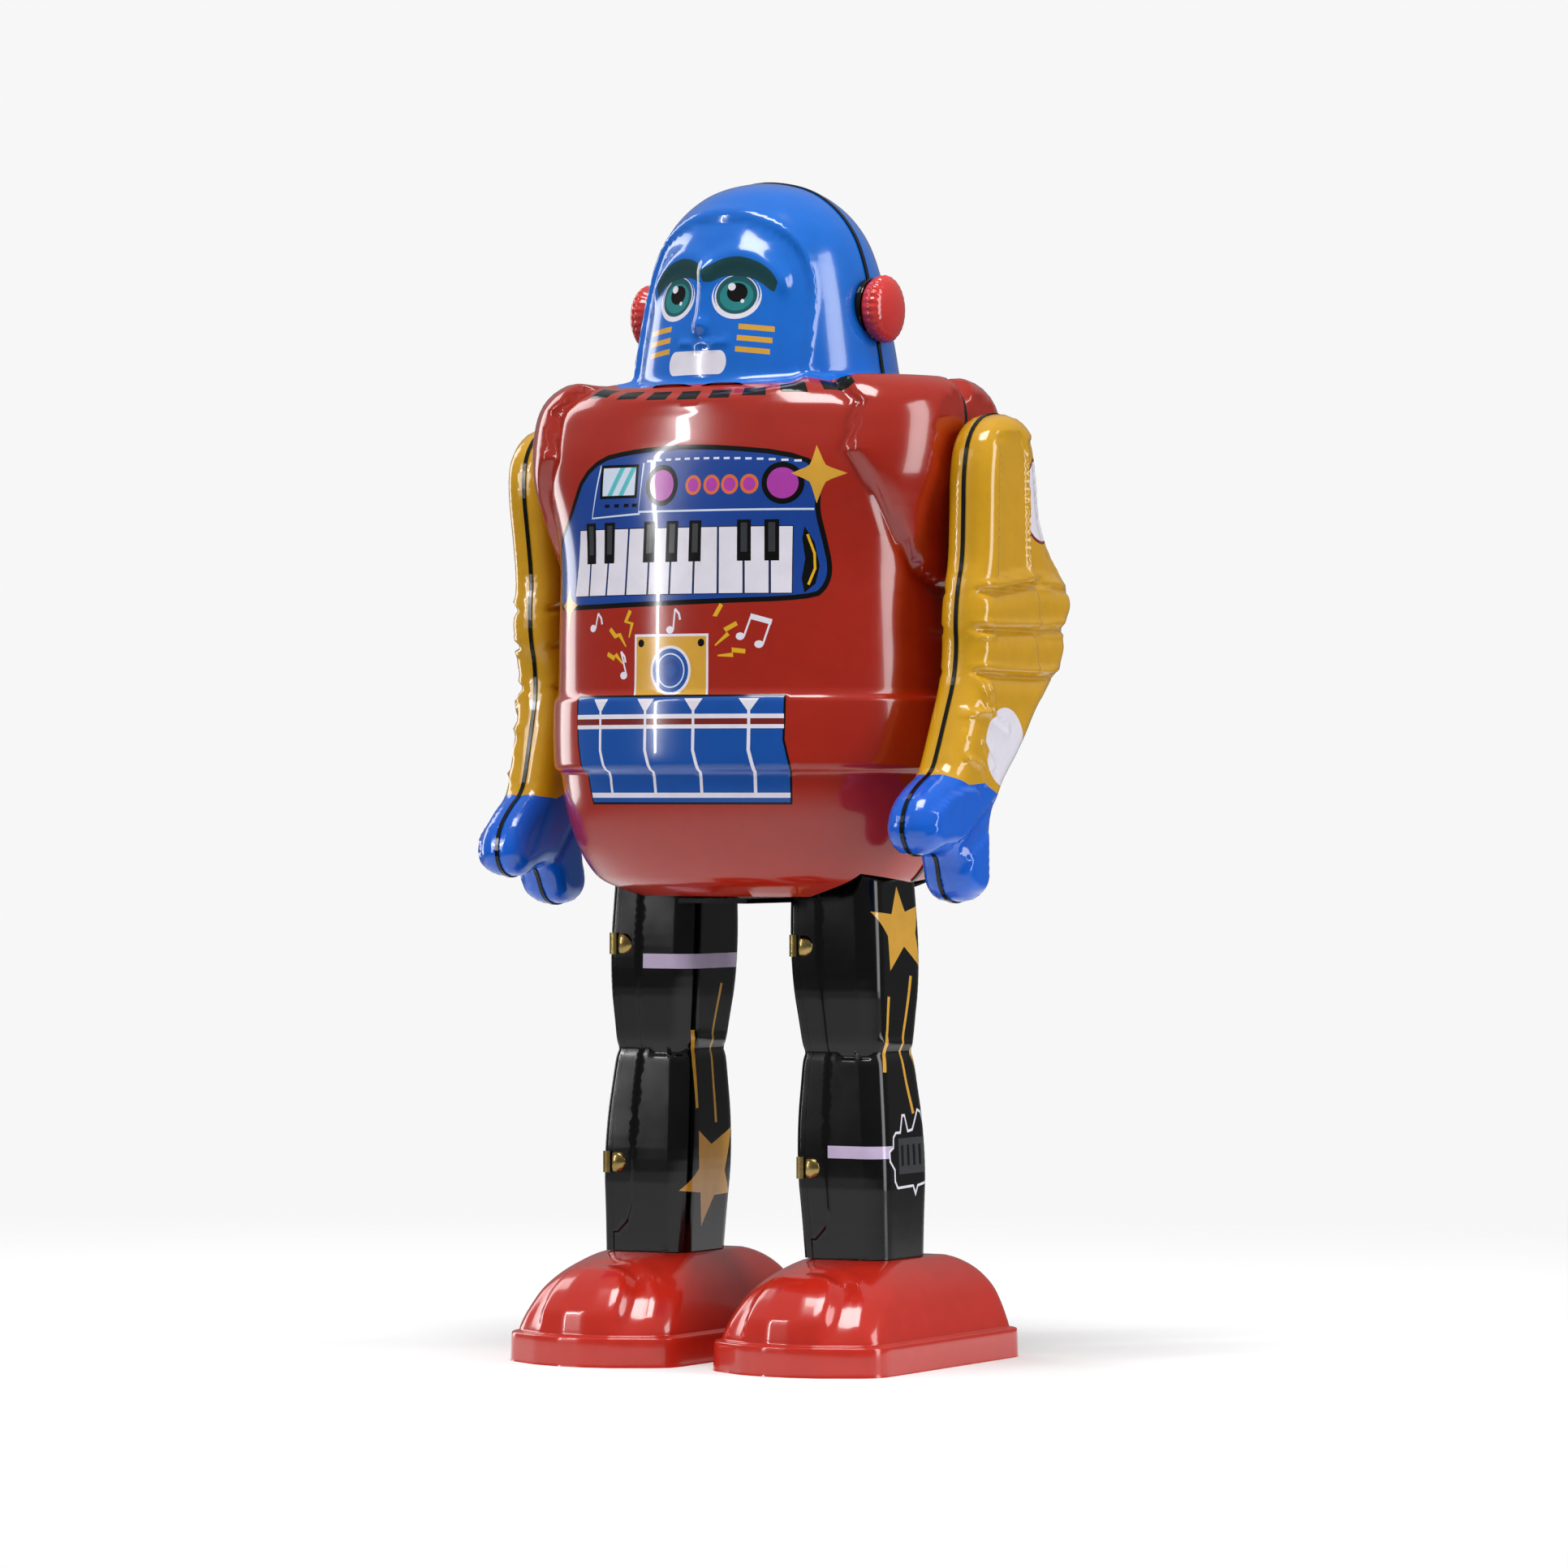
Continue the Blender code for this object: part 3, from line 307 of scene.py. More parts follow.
def lacquer(name, colour, mottle=0.04, roughness=0.16):
    """Printed tinplate under clear varnish: a slightly mottled ink, and a gloss that wanders a little."""
    made = new_material(name)
    shader = shader_of(made)
    ink = np.array(linear(colour))
    _, ramp = varied(made, tuple(ink * (1 - mottle)), tuple(ink * (1 + mottle)), 260.0)
    made.node_tree.links.new(ramp.outputs["Color"], shader.inputs["Base Color"])
    noise, _ = varied(made, (0, 0, 0), (1, 1, 1), 90.0)
    gloss(made, noise, roughness - 0.05, roughness + 0.06)
    put(shader, Specular_IOR_Level=0.5, Coat_Weight=0.4, Coat_Roughness=0.03)
    bumped(made, 420.0, 0.05)
    return made


def metal(name, low, high, roughness, stretch=(1.0, 1.0, 1.0)):
    """Bare metal with drawn or rolled streaks in its gloss."""
    made = new_material(name)
    shader = shader_of(made)
    links = made.node_tree.links
    noise, ramp = varied(made, linear(low), linear(high), 180.0)
    place = add(made, "ShaderNodeTexCoord")
    squeeze = add(made, "ShaderNodeMapping")
    put(squeeze, Scale=stretch)
    links.new(place.outputs["Object"], squeeze.inputs["Vector"])
    links.new(squeeze.outputs["Vector"], noise.inputs["Vector"])
    links.new(ramp.outputs["Color"], shader.inputs["Base Color"])
    gloss(made, noise, roughness * 0.75, roughness * 1.35)
    put(shader, Metallic=1.0)
    bumped(made, 900.0, 0.12)
    return made


INKS = {
    "red": (162, 31, 13),
    "foot_red": (186, 38, 24),
    "ear_red": (212, 56, 52),
    "face_blue": (2, 104, 204),
    "hand_blue": (2, 94, 210),
    "mustard": (206, 154, 20),
    "print_blue": (14, 64, 150),
    "drum_blue": (10, 78, 164),
    "black": (4, 4, 5),
    "white": (232, 228, 240),
    "gold": (218, 164, 56),
    "yellow": (226, 176, 30),
    "magenta": (178, 60, 170),
    "pink": (214, 90, 110),
    "orange": (222, 110, 60),
    "teal": (28, 128, 130),
    "teal_dark": (12, 84, 92),
    "brow_green": (10, 62, 68),
    "screen": (214, 226, 244),
    "cyan": (90, 190, 200),
    "lilac": (196, 180, 212),
    "dark_red": (120, 30, 28),
    "grey": (52, 54, 58),
}


def make_materials():
    made = {name: lacquer("ink_" + name, colour) for name, colour in INKS.items()}
    made["black"] = lacquer("ink_black", INKS["black"], mottle=0.25, roughness=0.12)
    put(shader_of(made["black"]), Coat_Weight=0.05, Specular_IOR_Level=0.36)
    made["tin"] = metal("bare_tin", (150, 150, 150), (190, 190, 188), 0.32)
    made["tab"] = metal("tab_brass", (118, 100, 56), (168, 146, 92), 0.22)
    made["steel"] = metal("plated_steel", (168, 168, 170), (206, 206, 206), 0.24, stretch=(1.0, 6.0, 1.0))
    made["brass"] = metal("gear_brass", (176, 138, 62), (206, 170, 92), 0.26)
    made["blued"] = metal("spring_steel", (58, 64, 78), (92, 98, 112), 0.3)
    rubber = lacquer("roller_rubber", (34, 34, 36), mottle=0.2, roughness=0.6)
    put(shader_of(rubber), Coat_Weight=0.0)
    bumped(rubber, 1400.0, 0.4)
    made["rubber"] = rubber
    return made


MATERIALS = make_materials()


# ---------------------------------------------------------------- printed sheets

def triangulated(domain, art, step, holes):
    """Points and triangles over a flat domain, cut along every outline, with the art that lies on top."""
    outlines = [domain] + [outline for outline, _ in art] + list(holes)
    points = []
    faces = []
    for outline in outlines:
        line = spaced(anticlockwise(outline), step)
        faces.append(list(range(len(points), len(points) + len(line))))
        points += line
    tree = KDTree(len(points))
    for k, (u, v) in enumerate(points):
        tree.insert((u, v, 0.0), k)
    tree.balance()
    low = np.min(domain, axis=0)
    high = np.max(domain, axis=0)
    rows = int((high[1] - low[1]) / (step * 0.87)) + 1
    for row in range(rows):
        v = low[1] + step * 0.87 * (row + 0.5)
        for u in np.arange(low[0] + step * (0.25 + 0.5 * (row % 2)), high[0], step):
            if tree.find((u, v, 0.0))[2] > step * 0.45:
                points.append((u, v))
    result = delaunay_2d_cdt([Vector(p) for p in points], [], faces, 1, 1e-5, True)
    flat = np.array([tuple(p) for p in result[0]])
    triangles = []
    tops = []
    for face, owners in zip(result[2], result[5]):
        if 0 not in owners or max(owners) > len(art):
            continue
        for k in range(1, len(face) - 1):
            triangles.append((face[0], face[k], face[k + 1]))
            tops.append(max(owners))
    return flat, np.array(triangles), np.array(tops)


def surface_normals(surface, flat, side):
    reach = 0.06
    u = flat[:, 0]
    v = flat[:, 1]
    across = surface(u + reach, v) - surface(u - reach, v)
    up = surface(u, v + reach) - surface(u, v - reach)
    normals = np.cross(across, up) * side
    return normals / np.maximum(np.linalg.norm(normals, axis=1, keepdims=True), 1e-12)


def to_world(points):
    return (np.asarray(points, float) + (0.0, AXIS_Y, 0.0)) * MM


def link(name, mesh, body, nodes=()):
    """An object that rides on one body, and stands in for the frame's nodes that it replaces."""
    obj = bpy.data.objects.new(name, mesh)
    bpy.context.scene.collection.objects.link(obj)
    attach(obj, body)
    if nodes:
        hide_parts(*nodes)
    return obj


def ring_faces(rings, sides, start=0):
    """The quads between rings of points that lie one after another."""
    faces = []
    for row in range(rings - 1):
        here = start + row * sides
        above = here + sides
        for k in range(sides):
            after = (k + 1) % sides
            faces.append((here + k, here + after, above + after, above + k))
    return faces


def closed_mesh(name, points, faces, ink, sharp_angle=None):
    """A mesh of one ink with its faces turned outwards, smooth where an angle is given."""
    mesh = bpy.data.meshes.new(name)
    mesh.from_pydata(to_world(points).tolist(), [], faces)
    work = bmesh.new()
    work.from_mesh(mesh)
    bmesh.ops.recalc_face_normals(work, faces=work.faces)
    work.to_mesh(mesh)
    work.free()
    if sharp_angle is not None:
        mesh.polygons.foreach_set("use_smooth", [True] * len(faces))
        mesh.set_sharp_from_angle(angle=math.radians(sharp_angle))
    mesh.materials.append(MATERIALS[ink])
    return mesh


def printed_sheet(name, body, node, surface, domain, base, art, step, side=1.0, holes=()):
    """A sheet of printed tin with real thickness, shaped by a function of its flat pattern."""
    flat, triangles, tops = triangulated(list(domain), list(art), step, list(holes))
    outer = surface(flat[:, 0], flat[:, 1])
    normals = surface_normals(surface, flat, side)
    inner = outer - normals * TIN
    if side < 0:
        triangles = triangles[:, ::-1]
    count = len(flat)
    edges = np.concatenate([triangles[:, [0, 1]], triangles[:, [1, 2]], triangles[:, [2, 0]]])
    keys = np.sort(edges, axis=1)
    _, index, uses = np.unique(keys, axis=0, return_inverse=True, return_counts=True)
    rim = edges[uses[index.reshape(-1)] == 1]
    faces = triangles.tolist() + (triangles[:, ::-1] + count).tolist()
    faces += np.stack([rim[:, 1], rim[:, 0], rim[:, 0] + count, rim[:, 1] + count], axis=1).tolist()
    mesh = bpy.data.meshes.new(name)
    mesh.from_pydata(to_world(np.concatenate([outer, inner])).tolist(), [], faces)
    inks = [base] + [ink for _, ink in art]
    used = sorted(set(inks)) + ["tin"]
    for ink in used:
        mesh.materials.append(MATERIALS[ink])
    slots = [used.index(inks[top]) for top in tops]
    slots += [len(used) - 1] * (len(triangles) + len(rim))
    mesh.polygons.foreach_set("material_index", slots)
    mesh.polygons.foreach_set("use_smooth", [True] * len(faces))
    # The faces keep the sheet's own normals, and its cut edge faces sideways.
    flat_rim = np.cross(outer[rim[:, 1]] - outer[rim[:, 0]], normals[rim[:, 0]])
    flat_rim /= np.maximum(np.linalg.norm(flat_rim, axis=1, keepdims=True), 1e-12)
    loops = np.concatenate([normals[triangles.reshape(-1)], -normals[triangles[:, ::-1].reshape(-1)],
                            np.repeat(flat_rim, 4, axis=0)])
    mesh.normals_split_custom_set(loops.tolist())
    link(name, mesh, body, [node])


# ---------------------------------------------------------------- body

class Profile:
    """The body's sections as smooth functions of the distance up its side."""

    def __init__(self, sections):
        self.rows = soften(sections, 2)
        steps = np.diff(self.rows, axis=0)
        self.length = np.concatenate([[0.0], np.cumsum(np.hypot(steps[:, 0], steps[:, 1]))])

    def at(self, v):
        return [np.interp(v, self.length, self.rows[:, k]) for k in range(4)]

    def up(self, z):
        """The distance up the side at a height."""
        return np.interp(z, self.rows[:, 0], self.length)

    def drawn(self, outline):
        return [(u, float(self.up(z))) for u, z in outline]


PROFILE = Profile(BODY_SECTIONS)
TOP = float(PROFILE.length[-1])


FACE_MID = -1.8
MOUTH_Z = 202.2
BROW = [(0.0, 221.2), (5.6, 223.4), (11.6, 224.4), (17.6, 223.8), (23.6, 221.6), (28.4, 218.6)]
FACE_PANEL = [(-34.0, 195.0), (-37.4, 207.8), (-40.4, 216.8), (-38.6, 224.8), (-30.0, 229.6), (-14.0, 232.4),
              (10.0, 232.4), (26.0, 229.6), (34.8, 224.8), (36.8, 216.8), (34.0, 207.8), (31.0, 195.0)]
SHOULDER_CAP = [(37.6, 197.8), (38.9, 192.5), (36.2, 183.5), (41.6, 175.6), (48.0, 166.4), (52.7, 160.5),
                (58.0, 157.6), (70.0, 157.4), (70.0, 197.8)]


def body_relief(flat, front):
    """How far the pressing stands out of the plain body shape."""
    rise = np.zeros(len(flat))
    for cap in (SHOULDER_CAP, mirrored(SHOULDER_CAP)):
        rise += plateau(flat, cap, 2.3, 1.9)
        rise += ridge(flat, cap[:7], -0.6, 1.9)
    if not front:
        return rise
    panel = soften_loop(FACE_PANEL, 2)
    rise += plateau(flat, panel, -1.0, 2.6)
    rise += ridge(flat, panel, 0.4, 1.6)
    for brow in ([(FACE_MID + u, z) for u, z in BROW], [(FACE_MID - u, z) for u, z in BROW]):
        rise += ridge(flat, soften(brow, 2), 0.9, 2.6)
    nose = [(FACE_MID, 219.0), (FACE_MID, 213.0), (FACE_MID, 210.0)]
    rise += ridge(flat, nose, 1.5, 2.0)
    rise += ridge(flat, [(FACE_MID - 1.6, 209.6), (FACE_MID + 1.6, 209.6)], 0.8, 1.3)
    for side in (-1, 1):
        rise += ridge(flat, [(FACE_MID + side * 11.6, 216.0), (FACE_MID + side * 12.4, 216.0)], -0.4, 5.0)
    lips = [(-9.4, 206.4), (-3.4, 205.6), (-0.6, 206.2), (2.4, 205.6), (8.0, 206.6)]
    rise += ridge(flat, lips, 0.5, 0.8)
    return rise


def body_surface(front):
    """One half of the body: distance round the side and distance up it, to a place on the pressed tin."""
    side = -1.0 if front else 1.0

    def plain(s, v):
        z, half_width, half_depth, roundness = PROFILE.at(np.clip(v, 0.0, TOP))
        angle = s / GIRTH
        across = np.abs(np.sin(angle)) / half_width
        deep = np.abs(np.cos(angle)) / half_depth
        radius = (across ** roundness + deep ** roundness) ** (-1.0 / roundness)
        return np.stack([radius * np.sin(angle), side * radius * np.cos(angle), z], axis=1)

    def surface(s, v):
        s = np.asarray(s, float)
        v = np.asarray(v, float)
        base = plain(s, v)
        normals = surface_normals(plain, np.stack([s, np.clip(v, 0.1, TOP - 0.1)], axis=1), -side)
        z = base[:, 2]
        rise = body_relief(np.stack([s, z], axis=1), front)
        rise *= np.clip((HALF_TURN - np.abs(s)) / 3.0, 0.0, 1.0)
        skin = base + normals * rise[:, None] + (0.0, side * SEAM_GAP / 2, 0.0)
        skin[:, 0] = np.clip(skin[:, 0], -CLEAR_OF_ARM, CLEAR_OF_ARM)
        return skin

    return surface


def collar_dashes(start, count):
    """Dashes round the top of the shoulders, nearer the neck at the sides."""
    marks = []
    for k in range(count):
        u = start + k * 9.2
        lift = 2.0 * min(1.0, (abs(u + 3.0) / 34.0) ** 2)
        marks.append((bar(u, u + 5.8, 194.2 + lift * 0.8, 196.6 + lift * 0.6), "black"))
    return marks


def eye(u, z):
    """An open eye with a big round iris, ringed in white, half under the brow."""
    return [
        (disc(u, z, 9.0, squash=0.52), "white"),
        (disc(u, z + 0.5, 8.5, squash=0.5), "face_blue"),
        (disc(u, z + 0.2, 8.0, squash=0.53), "white"),
        (disc(u, z + 0.3, 7.5, squash=0.53), "teal_dark"),
        (disc(u, z + 0.1, 6.1, squash=0.5), "teal"),
        (disc(u + 0.2, z + 0.8, 3.8, squash=0.52), "black"),
        (disc(u - 1.9, z + 2.0, 1.4, squash=0.55), "white"),
        (disc(u + 2.2, z - 1.0, 0.7, squash=0.6), "white"),
    ]


def face_art():
    art = []
    for side in (-1, 1):
        art += eye(FACE_MID + side * 12.6 - 0.5, 215.6)
        brow = [(0.3, 219.2), (5.0, 221.2), (11.0, 221.8), (17.0, 221.2), (22.0, 219.8), (26.0, 217.2)]
        path = soften([(FACE_MID + side * u, z) for u, z in brow], 2)
        along = np.linspace(0, 1, len(path))
        widths = np.interp(along, (0, 0.15, 0.45, 0.85, 1.0), (2.0, 3.3, 3.8, 3.4, 1.9))
        art.append((band(path, widths), "brow_green"))
        for level, z in enumerate((209.4, 207.1, 204.8)):
            start = FACE_MID + side * (13.4 - 0.4 * level)
            end = FACE_MID + side * (25.4 - 0.8 * level)
            art.append((band([(start, z), (end, z - 0.7)], 1.1), "gold"))
    mouth = disc(5.6, MOUTH_Z, 2.4, 12, 1.0, -90, 90) + disc(-11.2, MOUTH_Z, 2.4, 12, 1.0, 90, 270)
    art.append((mouth, "white"))
    return art


def keyboard_art():
    art = []
    case = [(-23.6, 182.2), (-11.5, 184.2), (6.6, 184.8), (30.2, 182.5), (30.9, 176.0), (30.7, 171.5),
            (32.3, 165.8), (33.6, 160.0), (32.6, 156.4), (30.0, 154.2), (7.9, 153.6), (-36.7, 152.6),
            (-39.0, 154.6), (-40.0, 161.8), (-36.6, 166.6), (-30.2, 170.8)]
    case = [tuple(p) for p in soften_loop(case, 2)]
    art += [
        (grown(case, 0.5), "black"),
        (grown(case, -0.5), "print_blue"),
        (band([(-20.6, 181.4), (-22.9, 170.8), (-9.6, 171.4)], 0.4), "screen"),
        (band([(-9.4, 181.6), (-10.0, 171.8), (30.2, 171.8)], 0.4), "screen"),
    ]
    for k in range(15):
        u = -8.6 + 2.5 * k
        art.append((bar(u, u + 1.4, 182.0 - 0.0016 * (u - 4) ** 2, 182.45 - 0.0016 * (u - 4) ** 2), "screen"))
    art.append((bar(-20.6, -10.6, 174.6, 181.4), "black"))
    art.append((bar(-19.9, -11.3, 175.2, 180.8), "screen"))
    for u in (-18.6, -15.6):
        art.append(([(u, 175.2), (u + 1.3, 175.2), (u + 4.4, 180.8), (u + 3.1, 180.8)], "cyan"))
    for u in (-19.2, -16.6, -14.0, -11.8):
        art.append((bar(u, u + 1.3, 172.8, 173.5), "black"))
    for u in (-4.2, 24.1):
        art.append((disc(u, 177.0, 4.2), "black"))
        art.append((disc(u, 177.0, 3.1), "magenta"))
    for u in (4.0, 8.6, 12.9, 17.3):
        art.append((disc(u, 176.9, 2.0, 20), "orange"))
        art.append((disc(u, 176.9, 1.35, 20), "magenta"))
    tops = np.array((-27.2, -23.2, -17.6, -12.3, -6.6, -1.0, 4.8, 10.4, 16.1, 21.6, 26.4))
    feet = np.array((-29.5, -23.9, -18.3, -12.7, -6.8, -1.2, 4.7, 10.5, 16.2, 21.6, 26.2))
    for k in range(10):
        key = [(feet[k] + 0.25, 155.2), (feet[k + 1] - 0.25, 155.2)]
        key += [(tops[k + 1] - 0.25, 168.4), (tops[k] + 0.25, 168.4)]
        art.append((grown(key, 0.18), "black"))
        art.append((key, "white"))
    for u in (-23.3, -17.7, -6.8, -0.9, 4.9, 16.2, 22.0):
        art.append((bar(u - 1.5, u + 1.5, 161.6, 169.8), "black"))
        art.append((bar(u - 0.7, u + 0.7, 163.4, 169.2), "grey"))
    wheel = [(28.4, 168.4), (30.4, 165.2), (31.4, 160.5), (30.6, 157.0), (28.4, 155.2)]
    wheel += [(27.9, 158.0), (28.6, 162.0), (28.0, 166.0)]
    art.append((wheel, "black"))
    art.append((band([(29.0, 166.8), (30.4, 163.0), (30.5, 160.0), (29.2, 156.8)], 0.5), "yellow"))
    return art


def spark(u, z, up, right, down, left):
    """A four-pointed gleam with hollow sides."""
    tips = [(0.0, up), (right, 0.0), (0.0, -down), (-left, 0.0)]
    shape = []
    for (a, b), (c, d) in zip(tips, tips[1:] + tips[:1]):
        shape.append((u + a, z + b))
        for part in (0.3, 0.5, 0.7):
            pull = 1.0 - 0.42 * math.sin(math.pi * part)
            shape.append((u + (a + (c - a) * part) * pull, z + (b + (d - b) * part) * pull))
    return shape


def notes_art():
    art = []

    def note(u, z, tip_u, tip_z, flag=True):
        art.append((disc(u, z, 0.95, 14, 0.8), "white"))
        art.append((band([(u + 0.8, z), (tip_u, tip_z)], 0.4), "white"))
        if flag:
            tail = [(tip_u, tip_z), (tip_u + 1.0, tip_z - 1.0), (tip_u + 1.3, tip_z - 2.2)]
            art.append((band(tail, 0.5), "white"))

    note(-22.2, 148.6, -20.6, 151.6)
    note(-12.8, 139.0, -13.6, 143.8)
    note(-0.8, 148.0, 0.4, 152.2)
    note(15.5, 146.6, 17.8, 150.6, flag=False)
    note(19.4, 145.0, 21.8, 149.6, flag=False)
    art.append((band([(17.6, 150.6), (22.0, 149.4)], 1.1), "white"))
    for path in ([(11.4, 153.0), (9.9, 150.6), (11.1, 150.4), (9.1, 147.2)],
                 [(14.8, 149.2), (12.2, 147.9), (12.9, 147.1), (10.0, 144.8)],
                 [(16.6, 143.6), (13.8, 143.9), (13.9, 142.9), (10.6, 142.8)],
                 [(-11.2, 152.0), (-12.4, 149.8), (-10.6, 149.4), (-11.4, 146.6)],
                 [(-16.8, 148.4), (-15.2, 146.9), (-14.0, 147.2), (-12.2, 144.8)],
                 [(-17.5, 143.4), (-15.6, 142.5), (-15.0, 143.2), (-13.1, 141.4)]):
        art.append((band(path, (0.9, 1.0, 0.9, 0.3)), "yellow"))
    return art


def drum_art():
    art = []
    art.append((bar(-9.8, 8.5, 134.3, 147.2), "white"))
    art.append((bar(-9.3, 8.0, 134.3, 146.7), "gold"))
    for u in (-8.1, 6.8):
        art.append((disc(u, 145.4, 0.8, 12), "black"))
    art.append((disc(-0.6, 139.9, 5.0), "white"))
    cone = ((4.4, "drum_blue"), (3.5, "screen"), (3.2, "drum_blue"), (2.4, "print_blue"), (1.3, "drum_blue"))
    for radius, ink in cone:
        art.append((disc(-0.6, 139.9, radius), ink))
    drum = [(-26.0, 134.6), (24.3, 134.6), (24.0, 126.0), (25.6, 119.6), (25.8, 113.6), (-23.8, 113.6),
            (-24.4, 119.6), (-25.6, 126.0)]
    art += [
        (grown(drum, 0.45), "black"),
        (drum, "drum_blue"),
        (bar(-26.0, 24.3, 128.3, 131.2), "dark_red"),
        (bar(-26.0, 24.3, 130.3, 131.2), "white"),
        (bar(-26.0, 24.3, 128.3, 129.1), "white"),
        (bar(-23.9, 25.8, 114.5, 115.5), "white"),
    ]
    for u in (-18.4, -6.2, 5.4, 17.4):
        art += [
            ([(u - 2.1, 134.3), (u + 2.1, 134.3), (u + 0.4, 132.0), (u - 0.4, 132.0)], "white"),
            (band([(u, 132.2), (u, 128.7)], 0.6), "white"),
            (band([(u, 128.7), (u - 0.1, 124.0), (u + 1.2, 119.6), (u + 1.3, 115.0)], 0.7), "white"),
        ]
    return art


def build_body():
    domain = bar(-HALF_TURN, HALF_TURN, 0.0, TOP)
    neck = float(PROFILE.up(SHOULDER_TOP)) + NECK_INSET
    head = (bar(-HALF_TURN - 1, HALF_TURN + 1, neck, TOP + 5.0), "face_blue")
    windows = [PROFILE.drawn(window) for window in (LEG_WINDOW, mirrored(LEG_WINDOW))]
    # The lower corners are carried past the sheet's edge, so that each window opens it.
    windows = [[(u, v if v > 0.01 else -1.0) for u, v in window] for window in windows]
    art = collar_dashes(-31.0, 8) + face_art() + keyboard_art()
    art.append((spark(30.6, 178.9, 5.6, 5.4, 6.0, 4.8), "gold"))
    art.append((spark(-32.4, 153.5, 4.0, 4.2, 5.4, 4.0), "gold"))
    art += notes_art() + drum_art()
    drawn = [head] + [(PROFILE.drawn(outline), ink) for outline, ink in art]
    printed_sheet("body_front", "torso", "front_shell", body_surface(True), domain, "red", drawn,
                  step=1.25, side=1.0, holes=windows)
    drawn = [head] + [(PROFILE.drawn(outline), ink) for outline, ink in collar_dashes(-48.7, 11)]
    key_hole = PROFILE.drawn(disc(0.0, KEY_Z, 3.6, 24))
    printed_sheet("body_back", "torso", "back_shell", body_surface(False), domain, "red", drawn,
                  step=1.6, side=-1.0, holes=windows + [key_hole])


def seam_strip(name, body, path, outward, width, axis):
    """A thin black flange that shows between two halves, along a path in the seam plane."""
    corners = []
    for reach, across in ((-0.6, -1), (0.28, -1), (0.28, 1), (-0.6, 1)):
        shifted = path + outward * reach
        shifted[:, axis] += across * width / 2
        corners.append(shifted)
    rings = np.stack(corners, axis=1)
    faces = ring_faces(len(path), 4)
    faces += [(3, 2, 1, 0), tuple((len(path) - 1) * 4 + c for c in range(4))]
    link(name, closed_mesh(name, rings.reshape(-1, 3), faces, "black"), body)


def build_body_seam():
    v = np.linspace(PROFILE.up(97.8), TOP, 220)
    z, half_width, _, _ = PROFILE.at(v)
    right = np.stack([half_width, np.zeros_like(z), z], axis=1)
    path = np.concatenate([right, (right * (-1, 1, 1))[::-1]])
    run = np.gradient(path, axis=0)
    outward = np.stack([run[:, 2], np.zeros(len(path)), -run[:, 0]], axis=1)
    outward /= np.maximum(np.linalg.norm(outward, axis=1, keepdims=True), 1e-9)
    seam_strip("body_seam", "torso", path, outward, 1.1, 1)


# ---------------------------------------------------------------- arms

# Side outline of the left arm (depth, height), and where its halves sit across the toy.
ARM_OUTLINE = (
    (1.0, 191.7), (7.0, 190.5), (11.6, 186.4), (13.6, 179.6), (14.6, 170.6), (19.0, 164.2), (24.2, 160.2),
    (27.0, 156.2), (26.4, 151.2), (23.6, 148.6), (24.0, 143.0), (21.6, 139.2), (14.6, 135.2), (10.0, 130.1),
    (4.6, 123.7), (-2.6, 117.4), (-4.6, 115.0), (-8.0, 109.7), (-9.6, 103.7), (-9.4, 97.0), (-11.6, 94.4),
    (-15.4, 93.6), (-19.4, 94.6), (-21.8, 97.2), (-23.2, 103.3), (-27.0, 103.9), (-32.4, 102.9),
    (-36.4, 105.1), (-37.6, 109.1), (-35.4, 113.8), (-30.4, 117.2), (-25.0, 119.4), (-22.4, 124.1),
    (-19.0, 131.1), (-15.8, 137.6), (-14.6, 144.2), (-15.2, 149.6), (-14.2, 156.2), (-12.2, 161.6),
    (-11.8, 170.6), (-11.6, 180.2), (-9.6, 186.6), (-4.8, 190.5),
)
ARM_SEAM_X = 52.0
ARM_DEPTH = {"outer": 5.6, "inner": 4.7}
ARM_WALL = 1.5
ARM_ROUND = 4.4
ARM_LOOP = soften_loop(ARM_OUTLINE, 2)
ARM_HANGS_BACK = {"left": 0.0, "right": 12.0}  # degrees behind the drawn outline
CUFFS = (
    [(-20.0, 155.6), (-8.0, 155.4), (2.0, 156.6), (12.0, 157.8), (18.0, 157.0), (30.0, 156.4)],
    [(-22.0, 148.4), (-9.0, 147.6), (6.0, 147.9), (30.0, 149.0)],
    [(-22.0, 139.6), (-9.0, 138.9), (6.0, 138.6), (26.0, 139.4)],
)
CREASES = (
    [(-14.0, 146.4), (-9.4, 147.0)],
    [(-15.0, 138.6), (-12.6, 131.6)],
    [(-20.0, 130.9), (-12.6, 131.6), (-4.0, 128.2)],
    [(-14.6, 125.4), (-10.6, 121.0)],
    [(-20.4, 122.4), (-15.4, 120.8), (-13.4, 117.6)],
    [(-11.8, 136.4), (-10.0, 132.0)],
)
STUDS = ((-20.6, 127.2), (-23.4, 122.6), (-18.9, 131.6))


def nearest_on(points, loop):
    """The distance to a closed loop and the nearest point on it."""
    best = np.full(len(points), 1e9)
    spot = np.zeros((len(points), 2))
    for start, end in zip(loop, np.roll(loop, -1, axis=0)):
        run = end - start
        part = np.clip(((points - start) @ run) / max(run @ run, 1e-12), 0.0, 1.0)
        place = start + part[:, None] * run
        gap = np.hypot(*(points - place).T)
        closer = gap < best
        best[closer] = gap[closer]
        spot[closer] = place[closer]
    return best, spot


